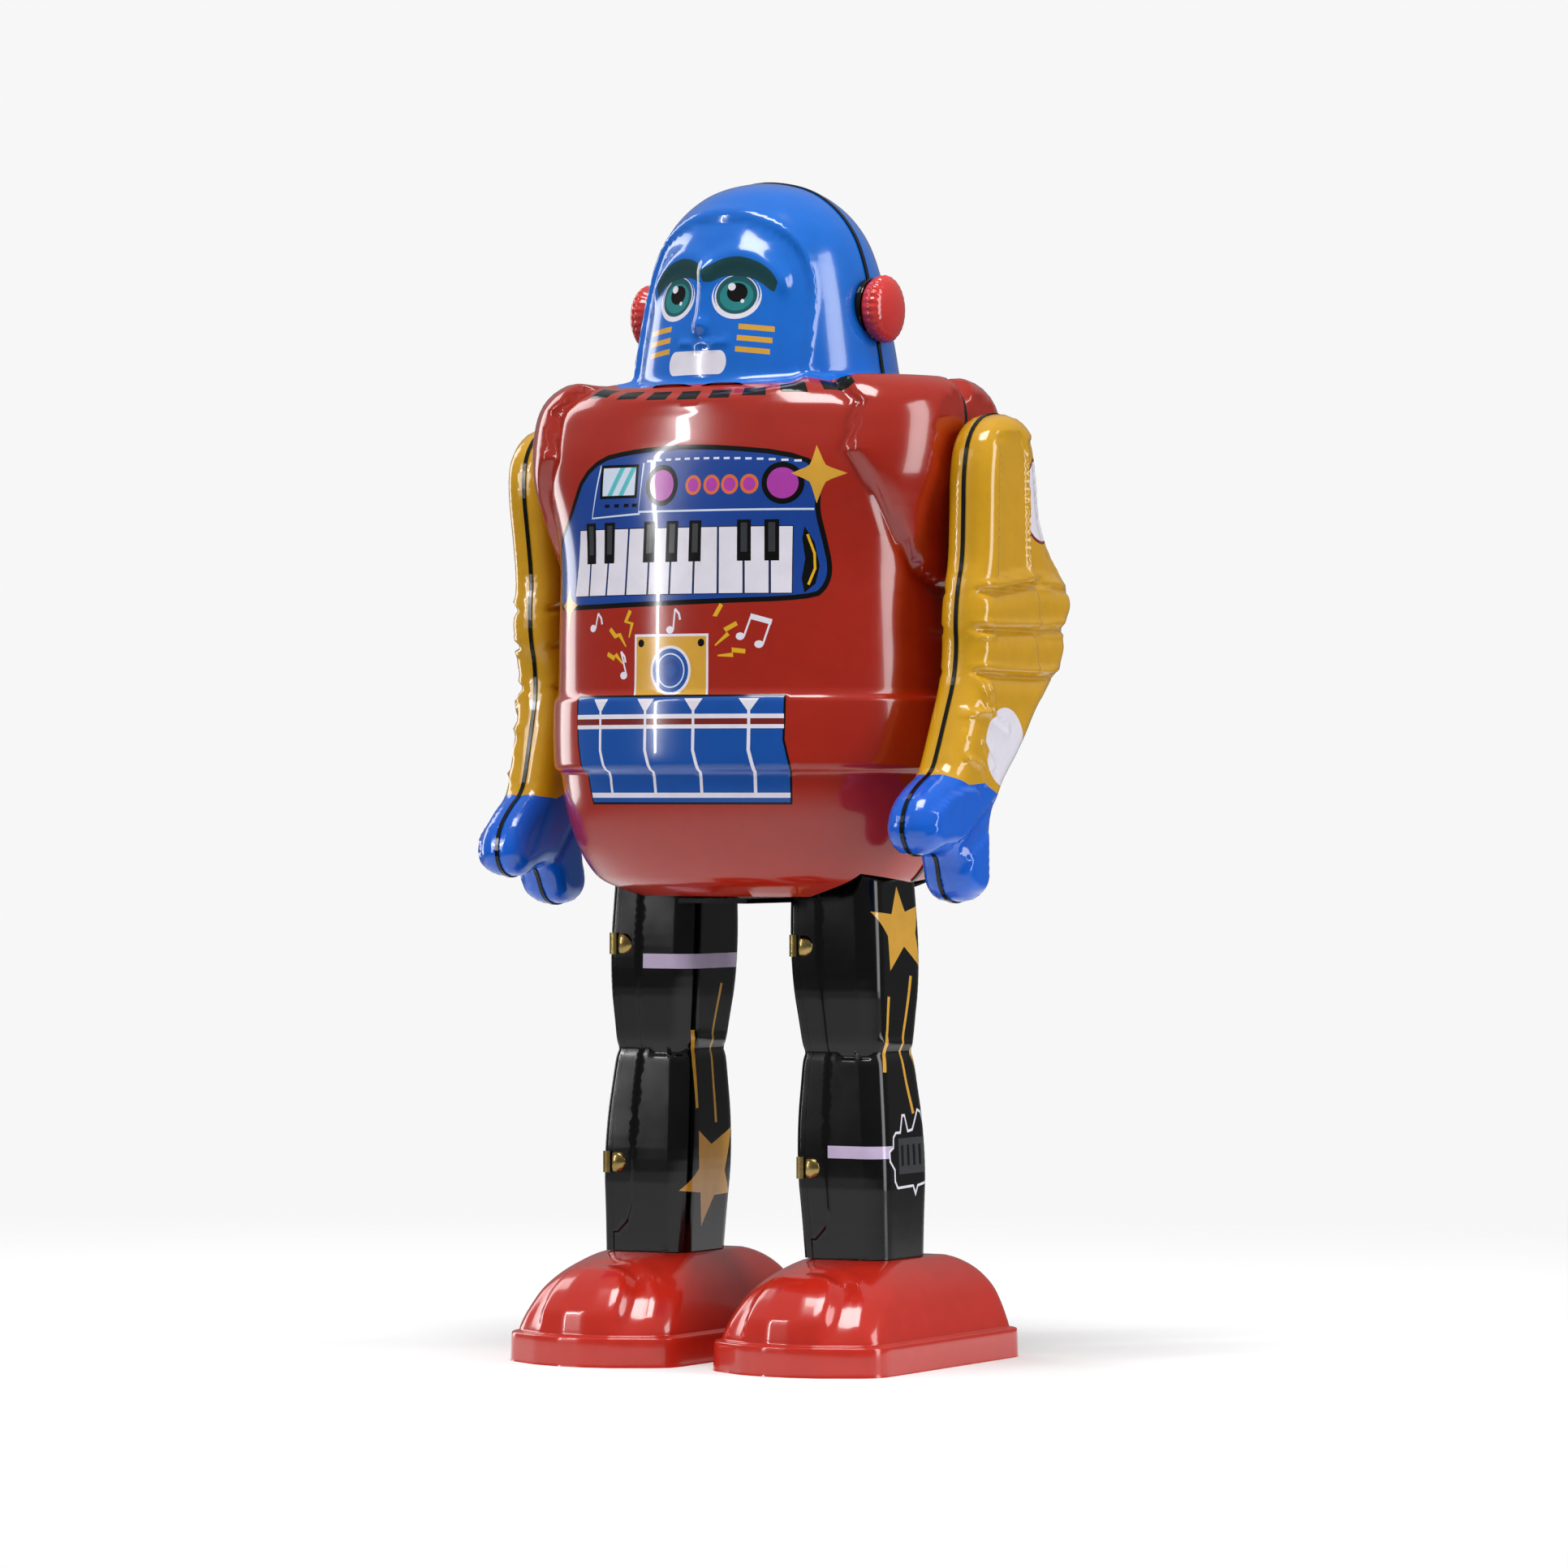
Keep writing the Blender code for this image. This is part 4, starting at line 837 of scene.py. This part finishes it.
def arm_relief(points, half):
    """Folds of the sleeve, and the facets of the hand, on the drawn outline of the arm."""
    rise = np.zeros(len(points))
    for cuff in CUFFS:
        rise += ridge(points, cuff, -1.2, 0.8)
        rise += ridge(points, [(y, z + 1.5) for y, z in cuff], 0.5, 0.8)
        rise += ridge(points, [(y, z - 3.4) for y, z in cuff], 0.4, 2.0)
    for crease in CREASES:
        rise += ridge(points, crease, 0.8, 0.7)
    rear = [(5.6, 186.0), (6.0, 176.0), (6.4, 164.0), (9.0, 158.6), (30.0, 157.4), (30.0, 190.0)]
    rise += plateau(points, rear, -1.6, 1.4)
    rise += ridge(points, [(5.0, 184.0), (5.4, 176.0), (5.8, 164.0), (6.6, 158.6)], 0.35, 0.7)
    front = [(-6.6, 187.0), (2.0, 187.4), (4.4, 182.0), (4.8, 172.0), (5.2, 160.4), (-7.4, 158.8)]
    rise += plateau(points, front, -0.5, 1.4)
    rise += plateau(points, [(9.0, 156.4), (10.6, 149.4), (30.0, 149.4), (30.0, 156.4)], -0.5, 1.4)
    rise += plateau(points, [(8.0, 147.2), (10.0, 140.4), (30.0, 140.4), (30.0, 147.2)], -0.5, 1.4)
    for y, z in STUDS:
        stud = [(y - 1.7, z - 0.9), (y + 0.9, z - 1.3), (y + 1.9, z + 0.9), (y - 0.9, z + 1.3)]
        rise += plateau(points, stud, 0.5, 0.7)
    palm = [(-36.0, 104.6), (-28.6, 104.0), (-21.0, 107.6), (-14.6, 112.6), (-18.0, 116.6), (-27.0, 115.4),
            (-34.4, 111.8)]
    rise += plateau(points, palm, 0.9, 0.9)
    rise += ridge(points, [(-21.6, 104.6), (-16.0, 108.6), (-9.0, 113.4)], -0.9, 0.9)
    finger = [(-21.4, 97.6), (-19.0, 95.6), (-14.0, 95.6), (-12.0, 98.0), (-11.6, 108.0), (-19.6, 103.4)]
    rise += plateau(points, finger, 0.7, 0.9)
    rise += ridge(points, [(-11.0, 101.0), (-12.0, 108.0), (-6.0, 114.0)], -0.4, 0.8)
    return rise if half == "outer" else np.minimum(rise, 0.0) * 0.6


def turned_back(y, z, side):
    """Depth and height turned about the shoulder so that the arm's lower end moves to the rear."""
    cos = math.cos(math.radians(ARM_HANGS_BACK[side]))
    sin = math.sin(math.radians(ARM_HANGS_BACK[side]))
    rise = z - SHOULDER_Z
    return y * cos - rise * sin, SHOULDER_Z + y * sin + rise * cos


def arm_surface(side, sign, half):
    """One half of an arm: a rounded edge that rises from the joint line to a nearly flat face."""
    depth = ARM_DEPTH[half]
    outward = 1.0 if half == "outer" else -1.0

    def surface(y, z):
        points = np.stack([np.asarray(y, float), np.asarray(z, float)], axis=1)
        gap, spot = nearest_on(points, ARM_LOOP)
        within = inside(points, ARM_LOOP)
        part = np.clip(gap / ARM_ROUND, 0.0, 1.0)
        height = ARM_WALL + (depth - ARM_WALL) * np.sqrt(np.maximum(1.0 - (1.0 - part) ** 2, 0.0))
        height += arm_relief(points, half) * np.clip(gap / 2.0, 0.0, 1.0)
        wall = np.clip(ARM_WALL - gap, 0.0, ARM_WALL)
        height = np.where(within, height, wall)
        place = np.where(within[:, None], points, spot)
        x = sign * (ARM_SEAM_X + outward * (SEAM_GAP / 2 + height))
        return np.stack([x, *turned_back(place[:, 0], place[:, 1], side)], axis=1)

    return surface


def arm_art(half):
    hand = [(-45.0, 88.0), (6.0, 88.0), (6.0, 113.0), (-2.0, 115.2), (-8.4, 115.4), (-14.0, 117.4),
            (-20.0, 117.0), (-25.0, 118.6), (-30.0, 122.0), (-45.0, 122.0)]
    art = [(hand, "hand_blue")]
    if half == "outer":
        art = [(disc(14.2, 174.6, 8.9, 40), "dark_red"), (disc(14.4, 174.6, 8.3, 40), "white"),
               (disc(-5.0, 124.6, 8.2, 40, 0.96), "white")] + art
    return art


def build_arm(side, sign):
    domain = grown([tuple(p) for p in ARM_LOOP], ARM_WALL)
    for half in ("outer", "inner"):
        face = sign if half == "outer" else -sign
        hole = disc(0.0, SHOULDER_Z, 2.3, 20)
        printed_sheet(f"arm_{side}_{half}_skin", f"arm_{side}", f"arm_{side}_{half}",
                      arm_surface(side, sign, half), domain, "mustard", arm_art(half), step=0.9,
                      side=float(face), holes=[hole] if half == "inner" else [])
    loop = np.column_stack(turned_back(ARM_LOOP[:, 0], ARM_LOOP[:, 1], side))
    loop = np.concatenate([loop, loop[:1]])
    run = np.gradient(loop, axis=0)
    run[0] = run[-1] = loop[1] - loop[-2]
    outward = np.stack([np.zeros(len(loop)), -run[:, 1], run[:, 0]], axis=1)
    outward /= np.linalg.norm(outward, axis=1, keepdims=True)
    path = np.stack([np.full(len(loop), sign * ARM_SEAM_X), loop[:, 0], loop[:, 1]], axis=1)
    if outward[0] @ (path[0] - (sign * ARM_SEAM_X, 0.0, SHOULDER_Z)) < 0:
        outward = -outward
    seam_strip(f"arm_{side}_seam", f"arm_{side}", path, outward, 0.8, 0)


# ---------------------------------------------------------------- legs

# Height, half width, half depth.
LEG_SECTIONS = (
    (21.6, 9.2, 10.2), (30.3, 9.5, 10.5), (39.2, 9.9, 11.0), (49.2, 9.7, 10.6), (57.2, 9.1, 9.8),
    (61.2, 8.8, 9.4), (62.4, 8.5, 9.1), (63.0, 8.3, 9.0), (63.6, 8.5, 9.1), (65.0, 8.8, 9.4), (69.3, 9.1, 9.9),
    (76.4, 9.7, 10.8), (85.5, 9.9, 11.0), (95.6, 9.6, 10.6), (103.7, 9.4, 10.2), (108.7, 9.0, 8.8),
)
LEG_ROWS = soften(LEG_SECTIONS, 2)
UNDER_BODY = 94.6
LEG_X_UNDER_BODY = 20.9
LEG_SPLAY = 0.0356
LEG_CORNER = 4.4
SEAM_CORNER = 1.2
COVER_LIP = 2.2
SEAM_START = COVER_LIP + SEAM_GAP
FRONT_RUN = 19.4 - SEAM_START - LEG_CORNER
CORNER_RUN = math.pi / 2 * LEG_CORNER
SIDE_RUN = 21.6 - 2 * LEG_CORNER
WRAP_RUN = 2 * FRONT_RUN + 2 * CORNER_RUN + SIDE_RUN
TAB_HEIGHTS = (39.8, 84.6)
LAP = [(4.6, 31.0), (4.6, 130.0), (-3.0, 130.0), (-3.0, 25.4), (1.0, 25.4), (3.4, 27.6)]
LAP_EDGE = 0.5


def leg_centre(height, sign):
    return sign * (LEG_X_UNDER_BODY + LEG_SPLAY * (UNDER_BODY - height))


def leg_size(z):
    return np.interp(z, LEG_ROWS[:, 0], LEG_ROWS[:, 1]), np.interp(z, LEG_ROWS[:, 0], LEG_ROWS[:, 2])


def wrap_surface(sign):
    """The leg's front, outer side and rear, drawn out flat from its front seam."""

    def surface(u, z):
        u = np.asarray(u, float)
        z = np.asarray(z, float)
        half_width, half_depth = leg_size(z)
        r = LEG_CORNER
        stops = np.cumsum([0.0, FRONT_RUN, CORNER_RUN, SIDE_RUN, CORNER_RUN, FRONT_RUN])
        start = -half_width + SEAM_START
        front = start + np.clip(u / FRONT_RUN, None, 1.0) * (half_width - r - start)
        turn = np.clip((u - stops[1]) / CORNER_RUN, 0.0, 1.0) * math.pi / 2
        side = np.clip((u - stops[2]) / SIDE_RUN, 0.0, 1.0)
        after = np.clip((u - stops[3]) / CORNER_RUN, 0.0, 1.0) * math.pi / 2
        rear = np.clip((u - stops[4]) / FRONT_RUN, 0.0, None)
        x = np.select([u < stops[1], u < stops[3], u < stops[4]],
                      [front, half_width - r + r * np.sin(turn), half_width - r + r * np.cos(after)],
                      half_width - r - rear * (half_width - r - start))
        y = np.select([u < stops[1], u < stops[2], u < stops[3], u < stops[4]],
                      [-half_depth, -half_depth + r - r * np.cos(turn),
                       -half_depth + r + side * (2 * half_depth - 2 * r), half_depth - r + r * np.sin(after)],
                      half_depth)
        flat = np.stack([u, z], axis=1)
        proud = plateau(flat, LAP, 0.45, LAP_EDGE)
        proud += ridge(flat, [(8.0, 62.4), (15.0, 62.2)], -0.4, 0.6)
        proud += ridge(flat, [(stops[2] - 1.0, 65.2), (stops[3], 64.6)], 0.35, 0.8)
        y = y - proud * (u < stops[2]) + proud * (u > stops[3])
        x = x + proud * ((u >= stops[1]) & (u < stops[4]))
        return np.stack([leg_centre(z, sign) + x, y, z], axis=1)

    return surface


def cover_surface(sign):
    """The closing strip with a lip round onto the front and the rear, drawn out flat from its rear edge."""
    lip = COVER_LIP - SEAM_CORNER
    turn_run = math.pi / 2 * SEAM_CORNER
    long_run = 21.6 - 2 * SEAM_CORNER
    stops = np.cumsum([0.0, lip, turn_run, long_run, turn_run, lip])

    def surface(u, z):
        u = np.asarray(u, float)
        z = np.asarray(z, float)
        half_width, half_depth = leg_size(z)
        r = SEAM_CORNER
        first = np.clip((u - stops[1]) / turn_run, 0.0, 1.0) * math.pi / 2
        along = np.clip((u - stops[2]) / long_run, 0.0, 1.0)
        last = np.clip((u - stops[3]) / turn_run, 0.0, 1.0) * math.pi / 2
        x = np.select([u < stops[1], u < stops[2], u < stops[3], u < stops[4]],
                      [-half_width + COVER_LIP - u, -half_width + r - r * np.sin(first), -half_width,
                       -half_width + r - r * np.cos(last)], -half_width + r + u - stops[4])
        y = np.select([u < stops[1], u < stops[2], u < stops[3], u < stops[4]],
                      [half_depth, half_depth - r + r * np.cos(first),
                       half_depth - r - along * (2 * half_depth - 2 * r), -half_depth + r - r * np.sin(last)],
                      -half_depth)
        return np.stack([leg_centre(z, sign) + x, y, z], axis=1)

    return surface, stops


def star_leg_art():
    """Left leg: a gold star over three falling lines, and a lilac band to a plain white-edged patch."""
    shape = [(25.4, 96.6), (22.8, 91.0), (16.0, 91.6), (21.0, 86.6), (21.6, 79.6), (27.4, 84.4), (34.4, 79.8),
             (32.2, 87.0), (34.2, 92.6), (28.4, 91.4)]
    art = [(shape, "gold")]
    art += [
        (band([(20.8, 74.4), (20.0, 68.0), (18.6, 62.6), (18.4, 59.2)], 1.05), "gold"),
        (band([(30.0, 78.4), (28.8, 70.0), (27.2, 63.2), (28.2, 57.0), (29.8, 50.6)], 1.05), "gold"),
        (band([(36.6, 74.6), (34.0, 66.0), (33.0, 62.6), (34.4, 58.8)], 1.05), "gold"),
        (bar(4.9, 20.0, 41.9, 44.4), "lilac"),
    ]
    patch = [(20.4, 46.2), (21.6, 47.2), (23.4, 47.2), (24.6, 50.6), (26.0, 50.6), (27.0, 47.4), (28.6, 47.6),
             (31.6, 51.6), (33.2, 51.0), (34.6, 47.8), (36.8, 47.0), (37.8, 42.0), (36.4, 36.6), (30.4, 35.8),
             (29.4, 33.8), (28.2, 35.8), (21.8, 35.6), (20.6, 37.2), (20.6, 39.4), (18.8, 41.2), (18.6, 43.4),
             (20.2, 44.2)]
    art += [
        (patch, "white"),
        (grown(patch, -0.5), "black"),
        (bar(22.6, 33.4, 38.6, 45.8), "grey"),
    ]
    for k in range(4):
        art.append((bar(23.6 + 2.4 * k, 24.6 + 2.4 * k, 40.2, 44.4), "black"))
    return art


def band_leg_art():
    """Right leg: a lilac band above, faint falling lines, and a gold star below."""
    art = [(bar(5.6, 36.0, 79.6, 82.6), "lilac")]
    art.append((band([(17.4, 67.0), (18.0, 60.0), (19.3, 51.0)], 0.9), "gold"))
    art.append((band([(27.8, 76.4), (26.0, 66.0), (26.6, 56.0), (27.2, 47.8)], 0.9), "gold"))
    shape = [(20.2, 46.4), (25.4, 43.4), (33.6, 46.6), (31.0, 37.8), (33.6, 33.0), (27.6, 32.8), (22.8, 26.6),
             (21.8, 33.6), (15.4, 34.2), (20.8, 38.6)]
    art.append((shape, "gold"))
    return art


def build_tab(name, body, x, y, z, out):
    """A folded brass tab: a flat saddle on the cover's edge and a domed tongue on the leg beside it."""
    saddle = ((-2.9, 0.0), (-2.7, 0.55), (-1.9, 0.75), (-1.1, 0.55), (-0.9, 0.0))
    levels = (-2.2, -1.9, 1.9, 2.2)
    points = [(x + along, y + out * (rise - 0.1), z + level) for along, rise in saddle for level in levels]
    faces = [(r * 4 + c, r * 4 + c + 1, r * 4 + c + 5, r * 4 + c + 4) for r in range(4) for c in range(3)]
    dome = ((2.3, -0.1), (2.25, 0.5), (1.9, 0.95), (1.2, 1.2), (0.3, 1.3))
    sides = 20
    start = len(points)
    for radius, rise in dome:
        for k in range(sides):
            angle = 2 * math.pi * k / sides
            across = max(radius * math.cos(angle), -0.6) + 0.5
            points.append((x + across, y + out * rise, z + radius * 0.95 * math.sin(angle)))
    faces += ring_faces(len(dome), sides, start)
    faces.append(tuple(start + (len(dome) - 1) * sides + k for k in range(sides)))
    link(name, closed_mesh(name, points, faces, "tab", 45), body)


def build_leg(side, sign):
    body = f"leg_{side}"
    low, high = LEG_ROWS[0, 0], LEG_ROWS[-1, 0]
    art = star_leg_art() if side == "left" else band_leg_art()
    stops = np.cumsum([FRONT_RUN, CORNER_RUN, SIDE_RUN, CORNER_RUN])
    rows = [(bar(stops[0], stops[1], low, high), "black"), (bar(stops[2], stops[3], low, high), "black")]
    rows += [(grown(LAP, LAP_EDGE * part), "black") for part in (0.5, 0.0, -0.5)]
    art = rows + art
    printed_sheet(f"{body}_wrap_skin", body, f"{body}_wrap", wrap_surface(sign),
                  bar(0.0, WRAP_RUN, low, high), "black", art, step=0.9, side=1.0)
    surface, stops = cover_surface(sign)
    corners = [(bar(stops[1], stops[2], low, high), "black"), (bar(stops[3], stops[4], low, high), "black")]
    printed_sheet(f"{body}_cover_skin", body, f"{body}_cover", surface,
                  bar(0.0, stops[5], low, high), "black", corners, step=0.7, side=1.0)
    for level, z in enumerate(TAB_HEIGHTS):
        half_width, half_depth = (float(v) for v in leg_size(z))
        edge = leg_centre(z, sign) - half_width + COVER_LIP
        build_tab(f"{body}_tab_front_{level}", body, edge + 0.9, -half_depth, z, -1.0)
        build_tab(f"{body}_tab_rear_{level}", body, edge + 0.9, half_depth, z, 1.0)


# ---------------------------------------------------------------- feet and ears

RIB_COUNT = 28
RIB_MIDDLE = 27.8
RIB_REACH = 1.6
FOOT_X = 23.9
FOOT_RING = 176  # points round each level of a foot
# Height, half width, front, rear, corner radius of each level of the pressed shell.
FOOT_LEVELS = (
    (0.0, 19.6, -38.4, 30.4, 6.5), (0.5, 19.55, -38.35, 30.35, 6.5), (5.5, 19.5, -38.3, 30.3, 6.5),
    (6.0, 19.3, -38.1, 30.1, 6.5), (6.15, 18.7, -37.4, 29.4, 6.4), (6.2, 18.3, -36.9, 29.0, 6.3),
    (7.0, 18.2, -36.6, 28.7, 6.2), (9.0, 17.8, -35.6, 28.1, 6.3), (11.5, 17.2, -34.0, 27.4, 6.6),
    (14.0, 16.5, -32.0, 26.4, 6.8), (16.0, 15.6, -29.6, 25.2, 7.0), (18.0, 14.2, -26.4, 23.6, 7.0),
    (19.6, 12.7, -22.2, 21.4, 6.6), (20.8, 11.3, -17.6, 18.4, 5.6), (21.4, 10.4, -12.6, 15.6, 4.6),
)


def foot_ring(half_width, front, rear, corner):
    """A level of the foot: blunt and slightly bowed at the toe, square at the heel, with equal spacing."""
    toe = front + corner * 1.7
    points = disc(half_width - corner, toe, corner, 7, 1.0, -62.0, 0.0)
    points += disc(half_width - corner * 0.55, rear - corner * 0.55, corner * 0.55, 6, 1.0, 0.0, 90.0)
    points += [(-x, y) for x, y in reversed(points)]
    points += [(-half_width * 0.33, front), (half_width * 0.33, front)]
    loop = soften_loop(points, 1)
    loop = np.concatenate([loop, loop[:1]])
    along = np.concatenate([[0.0], np.cumsum(np.hypot(*np.diff(loop, axis=0).T))])
    stations = np.linspace(0.0, along[-1], FOOT_RING, endpoint=False)
    return np.stack([np.interp(stations, along, loop[:, 0]), np.interp(stations, along, loop[:, 1])], axis=1)


TOE_CAP = [(-8.6, -38.0), (8.6, -38.0), (9.4, -31.0), (7.4, -25.4), (0.0, -22.8), (-7.4, -25.4), (-9.4, -31.0)]
TOE_FOLD = [(-14.6, -31.0), (-12.8, -25.6), (-8.4, -20.6), (0.0, -18.0), (8.4, -20.6), (12.8, -25.6),
            (14.6, -31.0)]


def build_foot(side, sign):
    """A pressed foot with a raised toe cap and a fold behind it, given its thickness by a modifier."""
    rows = soften(FOOT_LEVELS, 2)
    rows = np.concatenate([rows, [(21.5, 7.0, -8.0, 11.0, 3.4), (21.5, 2.0, -2.0, 3.0, 1.2)]])
    rings = [np.column_stack([foot_ring(*row[1:]), np.full(FOOT_RING, row[0])]) for row in rows]
    points = np.concatenate(rings)
    flat = points[:, :2]
    lift = plateau(flat, soften_loop(TOE_CAP, 2), 1.9, 1.7)
    lift += ridge(flat, TOE_FOLD, 0.6, 1.3)
    lift *= np.clip((points[:, 2] - 6.4) / 3.0, 0.0, 1.0) * np.clip((20.6 - points[:, 2]) / 3.0, 0.0, 1.0)
    points[:, 2] += lift * 0.8
    points[:, 1] -= lift * 0.5
    points[:, 0] += sign * FOOT_X
    faces = ring_faces(len(rows), FOOT_RING)
    faces.append(tuple((len(rows) - 1) * FOOT_RING + k for k in range(FOOT_RING)))
    mesh = bpy.data.meshes.new(f"foot_{side}_skin")
    mesh.from_pydata(to_world(points).tolist(), [], faces)
    mesh.polygons.foreach_set("use_smooth", [True] * len(faces))
    mesh.set_sharp_from_angle(angle=math.radians(50))
    mesh.materials.append(MATERIALS["foot_red"])
    obj = link(f"foot_{side}_skin", mesh, f"leg_{side}", [f"foot_{side}_shell"])
    thick = obj.modifiers.new("thickness", "SOLIDIFY")
    thick.thickness = TIN * MM
    thick.offset = -1.0


def turned_about_ear(name, node, ink, sign, profile, sides, ribs=0.0):
    """A turned piece: distances out from the middle and radii, ribbed round the edge of the button."""
    points = []
    for out, radius in profile:
        edge = max(0.0, 1.0 - abs(out - RIB_MIDDLE) / RIB_REACH)
        for k in range(sides):
            angle = 2 * math.pi * k / sides
            size = radius * (1.0 + ribs * edge * math.cos(RIB_COUNT * angle))
            points.append((sign * out, size * math.cos(angle), EAR_Z + size * math.sin(angle)))
    faces = ring_faces(len(profile), sides)
    faces.append(tuple(range(sides))[::-1])
    faces.append(tuple((len(profile) - 1) * sides + k for k in range(sides)))
    link(name, closed_mesh(name, points, faces, ink, 38), "torso", [node])


def build_ears():
    button = ((25.4, 1.2), (25.5, 6.0), (26.4, 6.6), (27.6, 6.75), (28.3, 6.6), (28.9, 6.1), (29.4, 5.2),
              (29.8, 3.8), (30.0, 2.0), (30.1, 0.3))
    # The black spacer under each ear button is a real part. Its black is also painted shade, standing in for
    # the shade in the gap between the button and the head.
    shade_dark_spacer = ((23.6, 4.0), (23.8, 6.2), (24.6, 6.5), (25.3, 6.3), (25.35, 4.0))
    for side, sign in SIDES:
        name = f"ear_{side}"
        turned_about_ear(f"{name}_button", f"ear_cap_{side}", "ear_red", sign, button, 168, 0.03)
        turned_about_ear(f"{name}_washer", f"ear_pad_{side}", "black", sign, shade_dark_spacer, 64)


# ---------------------------------------------------------------- carried-over metal

def finish_metal():
    """Bright materials and eased edges on the frame's own motor, key and axle parts."""
    finishes = {"plated_steel": "steel", "gear_brass": "brass", "spring_steel": "blued",
                "roller_rubber": "rubber", "black_lacquer": "black"}
    slots = {part["node"]: part["material_slot"] for part in frame["record"]["subparts"]}
    for node, slot in slots.items():
        obj = bpy.data.objects.get(node)
        if obj is None or obj.type != "MESH" or slot not in finishes or not obj.material_slots:
            continue
        for place in obj.material_slots:
            place.material = MATERIALS[finishes[slot]]
        edge = obj.modifiers.new("eased_edges", "BEVEL")
        edge.width = 0.12 * MM
        edge.segments = 2
        edge.limit_method = "ANGLE"
        edge.angle_limit = math.radians(40)


# ---------------------------------------------------------------- studio

def soft_light(name, turn, height, distance, size, power, aim=0.12):
    """A rectangular light, turned round the toy by degrees, that faces a height above its middle."""
    data = bpy.data.lights.new(name, "AREA")
    data.shape = "RECTANGLE"
    data.size, data.size_y = size
    data.energy = power
    obj = bpy.data.objects.new(name, data)
    bpy.context.scene.collection.objects.link(obj)
    angle = math.radians(turn)
    obj.location = (math.sin(angle) * distance, -math.cos(angle) * distance, height)
    obj.rotation_euler = (Vector((0, 0, aim)) - obj.location).to_track_quat("-Z", "Y").to_euler()


FLOOR_NEAR = 0.12
FLOOR_FAR = 0.55


def build_floor():
    """A pale floor that fades into the backdrop away from the toy."""
    floor = bpy.data.meshes.new("floor")
    floor.from_pydata([(x, y, 0.0) for x, y in bar(-1.2, 1.2, -1.2, 1.2)], [], [(0, 1, 2, 3)])
    made = new_material("pale_floor")
    links = made.node_tree.links
    shader = shader_of(made)
    _, ramp = varied(made, (0.9, 0.9, 0.9), (0.92, 0.92, 0.92), 3.0)
    links.new(ramp.outputs["Color"], shader.inputs["Base Color"])
    put(shader, Roughness=0.9)
    place = add(made, "ShaderNodeTexCoord")
    far = add(made, "ShaderNodeVectorMath", operation="LENGTH")
    fade = add(made, "ShaderNodeMapRange", interpolation_type="SMOOTHSTEP")
    put(fade, From_Min=FLOOR_NEAR, From_Max=FLOOR_FAR)
    links.new(place.outputs["Object"], far.inputs[0])
    links.new(far.outputs["Value"], fade.inputs["Value"])
    clear = add(made, "ShaderNodeBsdfTransparent")
    blend = add(made, "ShaderNodeMixShader")
    links.new(fade.outputs["Result"], blend.inputs["Fac"])
    links.new(shader.outputs["BSDF"], blend.inputs[1])
    links.new(clear.outputs["BSDF"], blend.inputs[2])
    links.new(blend.outputs["Shader"], made.node_tree.nodes["Material Output"].inputs["Surface"])
    floor.materials.append(made)
    obj = bpy.data.objects.new("floor", floor)
    bpy.context.scene.collection.objects.link(obj)


def build_world():
    """A pale backdrop, dimmer as a light than it looks, with more light from above than from below."""
    world = bpy.data.worlds.new("studio")
    bpy.context.scene.world = world
    world.use_nodes = True
    nodes = world.node_tree.nodes
    links = world.node_tree.links
    lighting = nodes["Background"]
    place = nodes.new("ShaderNodeTexCoord")
    split = nodes.new("ShaderNodeSeparateXYZ")
    ramp = nodes.new("ShaderNodeValToRGB")
    ramp.color_ramp.elements[0].color = (0.16, 0.16, 0.16, 1.0)
    ramp.color_ramp.elements[1].color = (0.5, 0.5, 0.5, 1.0)
    links.new(place.outputs["Generated"], split.inputs[0])
    links.new(split.outputs["Z"], ramp.inputs["Fac"])
    links.new(ramp.outputs["Color"], lighting.inputs["Color"])
    backdrop = nodes.new("ShaderNodeBackground")
    put(backdrop, Color=(0.93, 0.93, 0.93, 1.0))
    path = nodes.new("ShaderNodeLightPath")
    blend = nodes.new("ShaderNodeMixShader")
    links.new(path.outputs["Is Camera Ray"], blend.inputs["Fac"])
    links.new(lighting.outputs["Background"], blend.inputs[1])
    links.new(backdrop.outputs["Background"], blend.inputs[2])
    links.new(blend.outputs["Shader"], nodes["World Output"].inputs["Surface"])


def build_studio():
    bpy.context.scene.view_settings.view_transform = "Standard"
    build_floor()
    build_world()
    soft_light("strip_front", -35, 0.62, 1.6, (0.03, 1.1), 6.0, aim=0.5)
    soft_light("box_left", -104, 0.5, 1.3, (0.4, 1.2), 5.0)
    soft_light("box_right", 98, 0.45, 1.3, (0.4, 1.2), 9.0)
    soft_light("box_top", 20, 1.7, 0.5, (0.9, 0.6), 21.0)


CAMERA_TURN = 30.0
CAMERA_AWAY = 1.35
CAMERA_HEIGHT = 0.115
AIM_TO_RIGHT = 0.0035
AIM_HEIGHT = 0.1173


def build_camera():
    data = bpy.data.cameras.new("camera")
    data.sensor_width = 36.0
    data.lens = 151.6
    data.clip_start = 0.05
    camera = bpy.data.objects.new("camera", data)
    bpy.context.scene.collection.objects.link(camera)
    angle = math.radians(CAMERA_TURN)
    right = Vector((math.cos(angle), math.sin(angle), 0.0))
    away = Vector((math.sin(angle), -math.cos(angle), 0.0))
    axis = Vector((0.0, AXIS_Y * MM, 0.0))
    camera.location = axis + away * CAMERA_AWAY + Vector((0.0, 0.0, CAMERA_HEIGHT))
    aim = axis + right * AIM_TO_RIGHT + Vector((0.0, 0.0, AIM_HEIGHT))
    camera.rotation_euler = (aim - camera.location).to_track_quat("-Z", "Y").to_euler()
    bpy.context.scene.camera = camera


build_camera()
build_studio()
build_body()
build_body_seam()
for side_name, side_sign in SIDES:
    build_arm(side_name, side_sign)
    build_leg(side_name, side_sign)
    build_foot(side_name, side_sign)
build_ears()
finish_metal()
